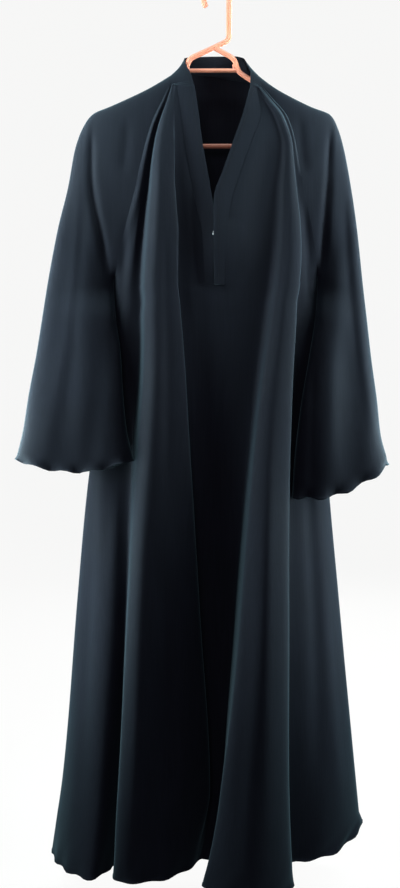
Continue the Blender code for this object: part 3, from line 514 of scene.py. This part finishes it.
def back_shape(drop, across, left, right, rounding):
    """One back section between its two ends, in plan, with the flutes that have begun."""
    angle = math.pi * across
    bend = 2 / LENS_POWER
    swing = -np.sign(np.cos(angle)) * np.abs(np.cos(angle)) ** bend
    straight = 2 * across - 1
    place = (1 - rounding) * straight + rounding * swing
    x = (left[0] + right[0]) / 2 + (right[0] - left[0]) / 2 * place
    base = left[1] + (right[1] - left[1]) * across
    y = base + float(BACK_DEPTH.at("depth", drop)) * np.abs(np.sin(angle)) ** bend
    ends = ease(across / FLUTE_END) * ease((1 - across) / FLUTE_END)
    for _, centre, width, depth, start in BACK_FLUTES.rows:
        grown = float(ease((drop - start) / (HEM_DROP - start)) ** FLUTE_GROWTH)
        y = y + depth * grown * ends * np.exp(-((across - centre) / width) ** 2)
    return np.column_stack((x, y))


def back_row(drop):
    across = np.linspace(0, 1, BACK_STEPS + 1)
    left, right = side_end("left", drop), side_end("right", drop)
    return back_shape(drop, across, left, right, 1.0), across


def body_rows(row_function, hem_table):
    rows = []
    for drop in body_drops():
        flat, across = row_function(drop)
        rows.append(np.column_stack((flat, np.full(len(flat), float(drop)))))
    for fraction in hem_fractions(HEM_DROP - LAST_FLAT_DROP):
        flat, across = row_function(LAST_FLAT_DROP + (HEM_DROP - LAST_FLAT_DROP) * fraction)
        drops = LAST_FLAT_DROP + (hem_table.at("drop", across) - LAST_FLAT_DROP) * fraction
        rows.append(frill(np.column_stack((flat, drops)), fraction, HEM_FRILL_SHARE))
    return rows


def back_top_rows():
    across = np.linspace(0, 1, BACK_STEPS + 1)
    rows = []
    for station in shoulder_stations():
        left = sleeve_section("sleeve_right", station, np.array([1.0]))[0]
        right = sleeve_section("sleeve_left", station, np.array([1.0]))[0]
        if station == UNDERARM_STATION:
            left[:2] = side_end("left", UNDERARM_DROP)
            right[:2] = side_end("right", UNDERARM_DROP)
        drop = left[2] + (right[2] - left[2]) * across
        flat = back_shape(float(drop.mean()), across, left, right, side_rounding(station))
        near_neck = 1 - ease(station / BACK_NECK_STATIONS)
        flat[:, 1] += near_neck * BACK_NECK.at("bulge", across)
        drop = drop - near_neck * BACK_NECK.at("rise", across)
        rows.append(np.column_stack((flat, drop)))
    return rows


def sleeve_rows(side):
    across = np.linspace(0, 1, 2 * SLEEVE_STEPS + 1)
    lower = np.linspace(UNDERARM_STATION, FRILL_STATION,
                        int((FRILL_STATION - UNDERARM_STATION) * SLEEVE_ROWS_A_STATION) + 1)
    rows = [sleeve_section(side, station, across) for station in shoulder_stations()]
    rows += [sleeve_section(side, station, across) for station in lower[1:]]
    for fraction in hem_fractions(CUFF_DEPTH):
        station = FRILL_STATION + (CUFF_STATION - FRILL_STATION) * fraction
        rows.append(frill(sleeve_section(side, station, across), fraction))
    return rows


class Cloth:
    """A cloth piece: rows of points through the middle of its wall, stitched into quads."""

    def __init__(self, name, wall=CLOTH_WALL):
        self.name, self.wall = name, wall
        self.rows, self.faces, self.pulls, self.hems, self.count = [], [], [], {}, 0

    def add(self, points):
        points = np.array([(x, y, -drop) for x, y, drop in points], dtype=float)
        indices = np.arange(self.count, self.count + len(points))
        self.rows.append(points)
        self.count += len(points)
        return indices

    def stitch(self, rows):
        for upper, lower in zip(rows, rows[1:]):
            self.faces.append(np.column_stack((upper[:-1], lower[:-1], lower[1:], upper[1:])))

    def seam(self, row, inner):
        """These points are sewn to another piece: they stop half a seam gap short of it."""
        self.pulls.append(np.column_stack((row, inner)))

    def sides(self, rows):
        for row in rows:
            self.seam([row[0], row[-1]], [row[1], row[-2]])

    def roll_hem(self, rows):
        """The rolled edge: the wall thickens and thins again over the last rows."""
        for row, wall in zip(rows[-len(ROLL_WALLS):], ROLL_WALLS):
            for point in row:
                self.hems[int(point)] = wall

    def close(self):
        self.points = np.vstack(self.rows)
        self.quads = np.vstack(self.faces)

    def build(self, normals):
        """The closed wall: an outer and an inner surface, joined along every free edge."""
        moved = self.points.copy()
        for point, beside in np.vstack(self.pulls):
            away = self.points[beside] - self.points[point]
            away -= normals[point] * away.dot(normals[point])
            moved[point] += away / max(np.linalg.norm(away), 1e-6) * SEAM_GAP / 2
        half = np.full(len(moved), self.wall / 2)
        for point, wall in self.hems.items():
            half[point] = wall / 2
        outer = moved + normals * half[:, None]
        inner = moved - normals * half[:, None]
        count = len(moved)
        quads = self.quads
        edges = np.vstack([quads[:, (i, (i + 1) % 4)] for i in range(4)])
        keys = edges[:, 0] * count + edges[:, 1]
        back_keys = edges[:, 1] * count + edges[:, 0]
        rim = edges[~np.isin(keys, back_keys)]
        faces = quads.tolist() + (quads[:, ::-1] + count).tolist()
        faces += np.column_stack((rim[:, 1], rim[:, 0], rim[:, 0] + count,
                                  rim[:, 1] + count)).tolist()
        mesh = bpy.data.meshes.new(self.name)
        mesh.from_pydata((np.vstack((outer, inner)) * MM).tolist(), [], faces)
        mesh.shade_smooth()
        mesh.set_sharp_from_angle(angle=math.radians(SHARP_ANGLE))
        return new_object(self.name, mesh)


def sewn_points(pieces):
    """For each point of all pieces, the number of its place: sewn points share one."""
    points = np.vstack([piece.points for piece in pieces])
    return np.unique(np.round(points, 3), axis=0, return_inverse=True)[1].ravel()


def shared_normals(pieces, place):
    """A normal for each point, the same where two pieces are sewn together."""
    turns = np.zeros((len(place), 3))
    first = 0
    for piece in pieces:
        corners = [piece.points[piece.quads[:, i]] for i in range(4)]
        across = np.cross(corners[2] - corners[0], corners[3] - corners[1])
        across /= np.maximum(np.linalg.norm(across, axis=1), 1e-9)[:, None] ** 0.5
        for i in range(4):
            np.add.at(turns, piece.quads[:, i] + first, across)
        first += len(piece.points)
    summed = np.zeros((place.max() + 1, 3))
    np.add.at(summed, place, turns)
    summed /= np.maximum(np.linalg.norm(summed, axis=1), 1e-9)[:, None]
    normals, first = summed[place], 0
    result = []
    for piece in pieces:
        result.append(normals[first:first + len(piece.points)])
        first += len(piece.points)
    return result


def add_creases(piece, normals):
    """Move the points out or in along their normals, at each crease of the table."""
    x, drop = piece.points[:, 0], -piece.points[:, 2]
    facing = {"front": ease(-normals[:, 1] * FACING_GAIN),
              "back": ease(normals[:, 1] * FACING_GAIN)}
    offset = np.zeros(len(x))
    for side, rows in CREASES.items():
        for crease in rows.each():
            start = np.array((crease["x"], crease["drop"]))
            along = np.array((crease["to_x"], crease["to_drop"])) - start
            length = np.hypot(*along)
            run = ((x - start[0]) * along[0] + (drop - start[1]) * along[1]) / length ** 2
            off = ((x - start[0]) * along[1] - (drop - start[1]) * along[0]) / length
            off = off - crease["bow"] * np.sin(math.pi * np.clip(run, 0, 1))
            fade = ease(run / CREASE_FADE) * ease((1 - run) / CREASE_FADE)
            shape = np.exp(-(off / crease["width"]) ** 2)
            offset += crease["depth"] * fade * shape * facing[side]
    swing = np.sin(x / DRIFT_ACROSS + DRIFT_BEND * np.sin(drop / DRIFT_DOWN) + normals[:, 1])
    offset += DRIFT_DEPTH * ease((drop - DRIFT_FROM) / (DRIFT_FULL - DRIFT_FROM)) * swing
    piece.points += normals * offset[:, None]


def make_front():
    cloth = Cloth("front_cloth")
    left_rows, right_rows = front_half_rows()
    left = [cloth.add(row) for row in left_rows]
    right = [cloth.add(row) for row in right_rows]
    for rows in (left, right):
        cloth.stitch(rows)
        cloth.seam(rows[0], rows[1])
        cloth.sides(rows)
    count = len(left[-1])
    middle_row = body_front_row(UNDERARM_DROP)[0][count:count + STEPS_PER_FOLD - 1]
    middle = cloth.add([(x, y, UNDERARM_DROP) for x, y in middle_row])
    indices = [cloth.add(row) for row in body_rows(body_front_row, FRONT_HEM)]
    cloth.stitch([np.concatenate((left[-1], middle, right[-1]))] + indices)
    cloth.sides(indices)
    cloth.roll_hem(indices)
    cloth.close()
    return cloth


def make_back():
    cloth = Cloth("back_cloth")
    rows = [row[::-1] for row in back_top_rows() + body_rows(back_row, BACK_HEM)]
    indices = [cloth.add(row) for row in rows]
    cloth.stitch(indices)
    cloth.sides(indices)
    cloth.seam(indices[0], indices[1])
    cloth.roll_hem(indices)
    cloth.close()
    return cloth


def make_sleeve(side):
    cloth = Cloth(side + "_cloth")
    rows = sleeve_rows(side)
    closed_from = UNDERARM_STATION * STATION_STEPS
    flip = -1 if side == "sleeve_right" else 1
    indices = []
    for i, row in enumerate(rows):
        if i < closed_from:
            indices.append(cloth.add(row)[::flip])
        else:
            ring = cloth.add(row[:-1])
            indices.append(np.concatenate((ring, ring[:1]))[::flip])
    cloth.stitch(indices)
    cloth.sides(indices[:closed_from])
    cloth.seam(indices[0], indices[1])
    cloth.roll_hem(indices)
    cloth.close()
    return cloth


def band_lines():
    """The band's seam, run along the pieces that it is sewn to, and its free edge."""
    left_rows, right_rows = front_half_rows()
    across = np.linspace(0, 1, 2 * SLEEVE_STEPS + 1)
    right_sleeve = sleeve_section("sleeve_right", 0, across)
    left_sleeve = sleeve_section("sleeve_left", 0, across)
    seam, edge = [], []

    def front_part(rows, side, column):
        neck = NECK_EDGES[side]
        pairs = []
        for row in rows:
            point = row[column]
            place = (float(neck.at("edge_x", point[2])), float(neck.at("edge_y", point[2])))
            pairs.append((point, (*place, point[2])))
        return pairs

    def neck_part(points, start, end):
        run = np.linalg.norm(np.diff(points, axis=0), axis=1)
        run = np.concatenate(([0], np.cumsum(run))) / run.sum()
        pairs = []
        for point, t in zip(points, run):
            around = start + (end - start) * t
            top = [float(COLLAR_TOP.at(name, around)) for name in ("x", "y", "drop")]
            pairs.append((point, top))
        return pairs

    corners = COLLAR_CORNERS
    parts = [front_part(left_rows[::-1], "sleeve_right", -1),
             neck_part(left_rows[0][::-1], corners[0], corners[1])[1:],
             neck_part(right_sleeve, corners[1], corners[2])[1:],
             neck_part(back_top_rows()[0], corners[2], corners[3])[1:],
             neck_part(left_sleeve[::-1], corners[3], corners[4])[1:],
             neck_part(right_rows[0][::-1], corners[4], corners[5])[1:],
             front_part(right_rows, "sleeve_left", 0)[1:]]
    for part in parts:
        for seam_point, edge_point in part:
            seam.append(seam_point)
            edge.append(edge_point)
    return np.array(seam), np.array(edge)


def make_band():
    seam, edge = band_lines()
    for line in (seam, edge):
        for end in (0, -1):
            line[end][2] -= SEAM_GAP + CLOTH_WALL / 2
    cloth = Cloth("neck_band_cloth", BAND_WALL)
    rows = [seam + (edge - seam) * i / BAND_STEPS for i in range(BAND_STEPS + 1)]
    indices = [cloth.add(row) for row in rows]
    cloth.stitch(indices)
    cloth.seam(indices[0], indices[1])
    cloth.close()
    return cloth


STITCH_PITCH, STITCH_LENGTH, STITCH_RADIUS = 3.2, 2.3, 0.24
STITCH_INSET = 7.0
# How far a stitch's middle stands off the band, as a share of its radius.
STITCH_STAND = 0.4
TACK_THREADS = 9
TACK_LENGTH, TACK_DROP, TACK_X, TACK_SLANT = 13.0, 502.5, 6.5, 0.5
# Far enough, in millimetres, that no point of the back is taken as the nearest.
OTHER_SIDE = 100


def make_stitch():
    """One thread stitch: a ball drawn out along X, with its ends pulled in."""
    for other in bpy.context.selected_objects:
        other.select_set(False)
    bpy.ops.mesh.primitive_uv_sphere_add(segments=8, ring_count=5, radius=STITCH_RADIUS * MM,
                                         rotation=(0, math.pi / 2, 0))
    stitch = bpy.context.object
    bpy.ops.object.transform_apply(location=False, rotation=True, scale=False)
    stretch = STITCH_LENGTH / 2 / STITCH_RADIUS
    bpy.ops.object.mode_set(mode="EDIT")
    bpy.ops.mesh.select_all(action="SELECT")
    bpy.ops.transform.resize(value=(stretch, 1, 1))
    bpy.ops.object.mode_set(mode="OBJECT")
    points = np.array([v.co for v in stitch.data.vertices]) / MM
    faces = [list(face.vertices) for face in stitch.data.polygons]
    bpy.data.objects.remove(stitch)
    return points, faces


def sew(name, places):
    """One mesh of stitches: each place is a centre, a direction along and one outwards."""
    points, faces = make_stitch()
    all_points, all_faces = [], []
    for centre, along, out in places:
        along = along / np.linalg.norm(along)
        out = out - along * out.dot(along)
        out = out / np.linalg.norm(out)
        turn = np.column_stack((along, np.cross(out, along), out))
        first = len(all_points) * len(points)
        all_points.append(points @ turn.T + centre)
        all_faces += [[i + first for i in face] for face in faces]
    mesh = bpy.data.meshes.new(name)
    mesh.from_pydata((np.vstack(all_points) * MM).tolist(), [], all_faces)
    mesh.shade_smooth()
    return new_object(name, mesh)


def stitch_places(line, normals, lift):
    """Places for stitches along a line of points, lifted off the cloth."""
    steps = np.linalg.norm(np.diff(line, axis=0), axis=1)
    run = np.concatenate(([0], np.cumsum(steps)))
    at = np.arange(STITCH_PITCH, run[-1] - STITCH_PITCH, STITCH_PITCH)
    read = [np.array([np.interp(at + shift, run, line[:, i]) for i in range(3)]).T
            for shift in (-STITCH_LENGTH / 2, 0, STITCH_LENGTH / 2)]
    outs = np.array([np.interp(at, run, normals[:, i]) for i in range(3)]).T
    outs /= np.linalg.norm(outs, axis=1)[:, None]
    return [(middle + out * lift, end - start, out)
            for start, middle, end, out in zip(*read, outs)]


def make_neck_stitches(band, normals):
    """The edge stitching of the band, a little way in from its free edge, on both faces."""
    rows = BAND_STEPS + 1
    points = band.points.reshape(rows, -1, 3)
    outs = normals.reshape(rows, -1, 3)
    edge, seam = points[-1], points[0]
    width = np.linalg.norm(seam - edge, axis=1)
    share = np.minimum(STITCH_INSET / width, 0.5)[:, None]
    place = (1 - share[:, 0]) * BAND_STEPS
    low = np.minimum(np.floor(place).astype(int), BAND_STEPS - 1)
    part = (place - low)[:, None]
    columns = np.arange(points.shape[1])
    line = points[low, columns] * (1 - part) + points[low + 1, columns] * part
    out = outs[low, columns] * (1 - part) + outs[low + 1, columns] * part
    lift = BAND_WALL / 2 + STITCH_RADIUS * STITCH_STAND
    return sew("neck_stitches", stitch_places(line, out, lift)
               + stitch_places(line, -out, lift))


def make_bar_tack(front, normals):
    """The short bar of close threads that ends the slit."""
    near = np.hypot(front.points[:, 0] - TACK_X, front.points[:, 2] + TACK_DROP)
    near += OTHER_SIDE * (normals[:, 1] > 0)
    nearest = int(np.argmin(near))
    y = front.points[nearest, 1] - BAND_WALL / 2 - CLOTH_WALL
    places = []
    out = np.array((0.0, -1.0, 0.0))
    for i in range(TACK_THREADS):
        x = TACK_X + TACK_LENGTH * (i / (TACK_THREADS - 1) - 0.5)
        slant = TACK_SLANT if i % 2 else -TACK_SLANT
        places.append((np.array((x, y, -TACK_DROP)), np.array((slant, 0.0, 1.0)), out))
    return sew("bar_tack", places)


# Materials, all procedural and read in object coordinates.

# The clouds' mask is read between these two levels.
CLOUD_LEVELS = (0.3, 0.7)


def set_inputs(node, values):
    for name, value in values.items():
        node.inputs[name].default_value = value


def add_node(tree, kind, inputs=None, **settings):
    node = tree.nodes.new(kind)
    for key, value in settings.items():
        setattr(node, key, value)
    set_inputs(node, inputs or {})
    return node


def build_fine_grain():
    """Shared effect: fine uneven grain as a height, and slow colour variation as a mask."""
    group = bpy.data.node_groups.new("fine_grain", "ShaderNodeTree")
    for name, value in (("Grain size", 1500.0), ("Cloud size", 7.0)):
        socket = group.interface.new_socket(name, in_out="INPUT", socket_type="NodeSocketFloat")
        socket.default_value = value
    for name in ("Grain", "Clouds"):
        group.interface.new_socket(name, in_out="OUTPUT", socket_type="NodeSocketFloat")
    source, result = group.nodes.new("NodeGroupInput"), group.nodes.new("NodeGroupOutput")
    place = group.nodes.new("ShaderNodeTexCoord")
    grain = add_node(group, "ShaderNodeTexNoise", {"Detail": 3.0, "Roughness": 0.55})
    clouds = add_node(group, "ShaderNodeTexNoise", {"Detail": 4.0, "Roughness": 0.6})
    for noise, name in ((grain, "Grain size"), (clouds, "Cloud size")):
        group.links.new(place.outputs["Object"], noise.inputs["Vector"])
        group.links.new(source.outputs[name], noise.inputs["Scale"])
    group.links.new(grain.outputs["Fac"], result.inputs["Grain"])
    group.links.new(clouds.outputs["Fac"], result.inputs["Clouds"])
    return group


def ramp_between(tree, factor, levels, dark, light):
    """Read a mask between two levels as a colour between two colours."""
    ramp = tree.nodes.new("ShaderNodeValToRGB")
    for element, level, colour in zip(ramp.color_ramp.elements, levels, (dark, light)):
        element.position, element.color = level, colour
    tree.links.new(factor, ramp.inputs["Fac"])
    return ramp.outputs["Color"]


def add_bump(tree, shader, height, strength, distance):
    bump = add_node(tree, "ShaderNodeBump", {"Strength": strength, "Distance": distance})
    tree.links.new(height, bump.inputs["Height"])
    tree.links.new(bump.outputs["Normal"], shader.inputs["Normal"])


def clouded_material(name, sizes, dark, light, rough=None, levels=CLOUD_LEVELS):
    """A material whose colour, and roughness if given, drift with the shared clouds."""
    material = bpy.data.materials.new(name)
    material.use_nodes = True
    tree = material.node_tree
    shader = tree.nodes["Principled BSDF"]
    grain = tree.nodes.new("ShaderNodeGroup")
    grain.node_tree = fine_grain
    set_inputs(grain, {"Grain size": sizes[0], "Cloud size": sizes[1]})
    colour = ramp_between(tree, grain.outputs["Clouds"], levels, dark, light)
    tree.links.new(colour, shader.inputs["Base Color"])
    if rough:
        drift = add_node(tree, "ShaderNodeMapRange",
                         {"From Min": CLOUD_LEVELS[0], "From Max": CLOUD_LEVELS[1],
                          "To Min": rough[0], "To Max": rough[1]})
        tree.links.new(grain.outputs["Clouds"], drift.inputs["Value"])
        tree.links.new(drift.outputs["Result"], shader.inputs["Roughness"])
    return material, tree, shader, grain


def crepe_material():
    """Near-black navy crepe: a pebbled face, faint upright slubs and a cool sheen."""
    material, tree, shader, grain = clouded_material(
        "abaya_crepe", (1500.0, 6.0), (0.0052, 0.0055, 0.0104, 1), (0.0068, 0.0071, 0.0130, 1),
        rough=(0.72, 0.84))
    place = tree.nodes.new("ShaderNodeTexCoord")
    squeeze = add_node(tree, "ShaderNodeMapping", {"Scale": (420.0, 420.0, 16.0)})
    slub = add_node(tree, "ShaderNodeTexNoise", {"Scale": 1.0, "Detail": 2.0})
    tree.links.new(place.outputs["Object"], squeeze.inputs["Vector"])
    tree.links.new(squeeze.outputs["Vector"], slub.inputs["Vector"])
    threads = ramp_between(tree, slub.outputs["Fac"], (0.35, 0.7),
                           (0.82, 0.84, 0.86, 1), (1.12, 1.12, 1.12, 1))
    mixed = add_node(tree, "ShaderNodeMix", {"Factor": 1.0}, data_type="RGBA",
                     blend_type="MULTIPLY")
    tree.links.new(shader.inputs["Base Color"].links[0].from_socket, mixed.inputs["A"])
    tree.links.new(threads, mixed.inputs["B"])
    tree.links.new(mixed.outputs["Result"], shader.inputs["Base Color"])
    both = add_node(tree, "ShaderNodeMath", operation="ADD")
    tree.links.new(grain.outputs["Grain"], both.inputs[0])
    tree.links.new(slub.outputs["Fac"], both.inputs[1])
    add_bump(tree, shader, both.outputs["Value"], 0.35, 0.0003)
    set_inputs(shader, {"Specular IOR Level": 0.08, "Sheen Weight": 0.20,
                        "Sheen Roughness": 0.42, "Sheen Tint": (0.48, 0.78, 0.92, 1)})
    return material


def thread_material():
    material, tree, shader, grain = clouded_material(
        "navy_thread", (2600.0, 60.0), (0.0026, 0.0030, 0.0052, 1), (0.0040, 0.0046, 0.0074, 1))
    add_bump(tree, shader, grain.outputs["Grain"], 0.3, 0.0001)
    set_inputs(shader, {"Roughness": 0.55, "Sheen Weight": 0.05, "Specular IOR Level": 0.1})
    return material


def hanger_material():
    """Salmon orange moulded plastic: satin, slightly mottled, with a fine grain."""
    material, tree, shader, grain = clouded_material(
        "salmon_plastic", (700.0, 34.0), (0.76, 0.260, 0.165, 1), (0.84, 0.320, 0.215, 1),
        rough=(0.26, 0.42), levels=(0.25, 0.75))
    add_bump(tree, shader, grain.outputs["Grain"], 0.12, 0.0002)
    set_inputs(shader, {"Subsurface Weight": 0.08, "Subsurface Radius": (0.004, 0.0015, 0.0008)})
    return material


def snap_material():
    material, tree, shader, grain = clouded_material(
        "clear_snap_plastic", (900.0, 120.0), (0.78, 0.82, 0.85, 1), (0.90, 0.93, 0.95, 1),
        rough=(0.06, 0.14))
    add_bump(tree, shader, grain.outputs["Grain"], 0.05, 0.0001)
    set_inputs(shader, {"Transmission Weight": 0.85, "IOR": 1.49})
    return material


def give(piece, material):
    piece.data.materials.clear()
    piece.data.materials.append(material)


# The garment: cloths, seams and creases.

cloths = [make_front(), make_back(), make_sleeve("sleeve_right"), make_sleeve("sleeve_left"),
          make_band()]
sewn = sewn_points(cloths)
for cloth, turns in zip(cloths, shared_normals(cloths, sewn)):
    add_creases(cloth, turns)
turns_of = shared_normals(cloths, sewn)
fine_grain = build_fine_grain()
crepe = crepe_material()
thread = thread_material()

# The cut of what shows: width and length of the flat piece, and its area, in metres.
CUTS = {
    "front_cloth": ("front_panel", (0.94, 1.42), 0.694, ["neck_band_cloth", "hanger"]),
    "back_cloth": ("back_panel", (0.62, 1.37), 0.560, ["neck_band_cloth", "hanger"]),
    "sleeve_right_cloth": ("sleeve_right", (0.455, 0.75), 0.183, ["hanger"]),
    "sleeve_left_cloth": ("sleeve_left", (0.405, 0.76), 0.151, ["hanger"]),
    "neck_band_cloth": ("neck_band", (0.037, 0.93), 0.0251, ["hanger"])}
shells = {cloth.name: cloth.build(turns) for cloth, turns in zip(cloths, turns_of)}
for shell in shells.values():
    give(shell, crepe)
neck_stitches = make_neck_stitches(cloths[-1], turns_of[-1])
bar_tack = make_bar_tack(cloths[0], turns_of[0])
for piece in (neck_stitches, bar_tack):
    give(piece, thread)

for name, (node, flat, area, rests) in CUTS.items():
    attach(shells[name], "root")
    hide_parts(node)
for piece in (neck_stitches, bar_tack):
    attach(piece, "root")

give(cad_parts["hanger"], hanger_material())
give(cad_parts["snap"], snap_material())


# Stage, light and camera.

# In metres: the floor is this far below the origin, clear of the hem.
FLOOR_DROP = 1.535
BOWL_RADIUS, BOWL_CURVE, BOWL_HEIGHT = 4.6, 1.5, 4.2
BOWL_STEPS, BOWL_SIDES = 12, 72


def make_bowl():
    """A pale floor that curves up into a round wall, open at the top."""
    profile = [(0.0, 0.0), (BOWL_RADIUS - BOWL_CURVE, 0.0)]
    for i in range(1, BOWL_STEPS + 1):
        angle = math.pi / 2 * i / BOWL_STEPS
        profile.append((BOWL_RADIUS - BOWL_CURVE + BOWL_CURVE * math.sin(angle),
                        BOWL_CURVE * (1 - math.cos(angle))))
    profile.append((BOWL_RADIUS, BOWL_HEIGHT))
    bm = bmesh.new()
    line = [bm.verts.new((x, 0, z - FLOOR_DROP)) for x, z in profile]
    edges = [bm.edges.new(pair) for pair in zip(line, line[1:])]
    bmesh.ops.spin(bm, geom=line + edges, cent=(0, 0, 0), axis=(0, 0, 1), dvec=(0, 0, 0),
                   angle=2 * math.pi, steps=BOWL_SIDES, use_merge=True)
    bmesh.ops.remove_doubles(bm, verts=bm.verts, dist=0.0001)
    bmesh.ops.recalc_face_normals(bm, faces=bm.faces)
    bmesh.ops.reverse_faces(bm, faces=bm.faces)
    mesh = bpy.data.meshes.new("studio_bowl")
    bm.to_mesh(mesh)
    bm.free()
    mesh.shade_smooth()
    return new_object("studio_bowl", mesh)


def add_light(name, place, aim, width, height, power, colour):
    """A soft rectangular lamp that faces the point aimed at, its height kept upright."""
    light = bpy.data.lights.new(name, "AREA")
    light.shape, light.size, light.size_y = "RECTANGLE", width, height
    light.energy, light.color = power, colour
    lamp = new_object(name, light)
    lamp.location = place
    lamp.visible_camera = False
    away = np.array(aim) - np.array(place)
    flat = math.hypot(away[0], away[1])
    lamp.rotation_euler = (math.atan2(flat, -away[2]), 0, math.atan2(-away[0], away[1]))


def bowl_material():
    """Pale to the camera, but it throws less light back on the cloth than it shows."""
    material = bpy.data.materials.new("studio_pale")
    material.use_nodes = True
    tree = material.node_tree
    shader = tree.nodes["Principled BSDF"]
    path = tree.nodes.new("ShaderNodeLightPath")
    shades = (("Base Color", (0.10, 0.10, 0.105, 1), (0.05, 0.05, 0.05, 1)),
              ("Emission Color", (0.015, 0.016, 0.018, 1), (0.92, 0.92, 0.915, 1)))
    for socket, unseen, seen in shades:
        mix = add_node(tree, "ShaderNodeMix", {"A": unseen, "B": seen}, data_type="RGBA")
        tree.links.new(path.outputs["Is Camera Ray"], mix.inputs["Factor"])
        tree.links.new(mix.outputs["Result"], shader.inputs[socket])
    set_inputs(shader, {"Emission Strength": 1.0, "Roughness": 0.9, "Specular IOR Level": 0.1})
    return material


bowl = make_bowl()
give(bowl, bowl_material())

# Light grazes the cloth from both sides and from above, as off the wall behind it.
# The lamps of one side: name, place, aim, width, height and power. The other side mirrors X.
TEAL_LIGHT = (0.80, 1.0, 0.98)
SIDE_LAMPS = (("shoulder", (0.44, -0.11, -0.12), (0.21, -0.02, -0.22), 0.15, 0.35, 5.6),
              ("sleeve", (0.51, -0.095, -0.54), (0.29, -0.03, -0.54), 0.15, 0.50, 6.2),
              ("hem", (0.46, -0.045, -0.93), (0.22, -0.01, -0.98), 0.10, 0.50, 3.8))
for side, ending in ((-1, "_left"), (1, "_right")):
    for name, (x, y, z), (aim_x, aim_y, aim_z), *form in SIDE_LAMPS:
        add_light(name + ending, (side * x, y, z), (side * aim_x, aim_y, aim_z), *form,
                  TEAL_LIGHT)
add_light("above", (0.0, -0.20, 0.55), (0, 0, -0.3), 1.0, 0.2, 2.5, TEAL_LIGHT)
add_light("front_soft", (-0.4, -2.6, 0.4), (0, 0, -0.3), 1.6, 1.6, 14, (1.0, 0.95, 1.0))
add_light("behind", (0.7, 2.2, 0.6), (0, 0, -0.6), 1.4, 1.4, 90, (1.0, 1.0, 1.0))

world = bpy.data.worlds.new("studio_air")
bpy.context.scene.world = world
world.use_nodes = True
set_inputs(world.node_tree.nodes["Background"], {"Color": (0.93, 0.97, 1.0, 1),
                                                 "Strength": 0.12})
bpy.context.scene.view_settings.view_transform = "Standard"

# The camera looks along +Y. Its focal length and the photograph's height are in pixels.
CAMERA_PLACE = (-0.028, -1.30, -0.772)
FOCAL_PIXELS, PHOTO_HEIGHT, SENSOR = 765.0, 888.0, 36.0
camera_data = bpy.data.cameras.new("photo_camera")
camera_data.sensor_width = SENSOR
camera_data.lens = SENSOR * FOCAL_PIXELS / PHOTO_HEIGHT
camera_data.clip_start = 0.05
camera = new_object("photo_camera", camera_data)
camera.location = CAMERA_PLACE
camera.rotation_euler = (math.pi / 2, 0, 0)
bpy.context.scene.camera = camera

bpy.context.view_layer.update()
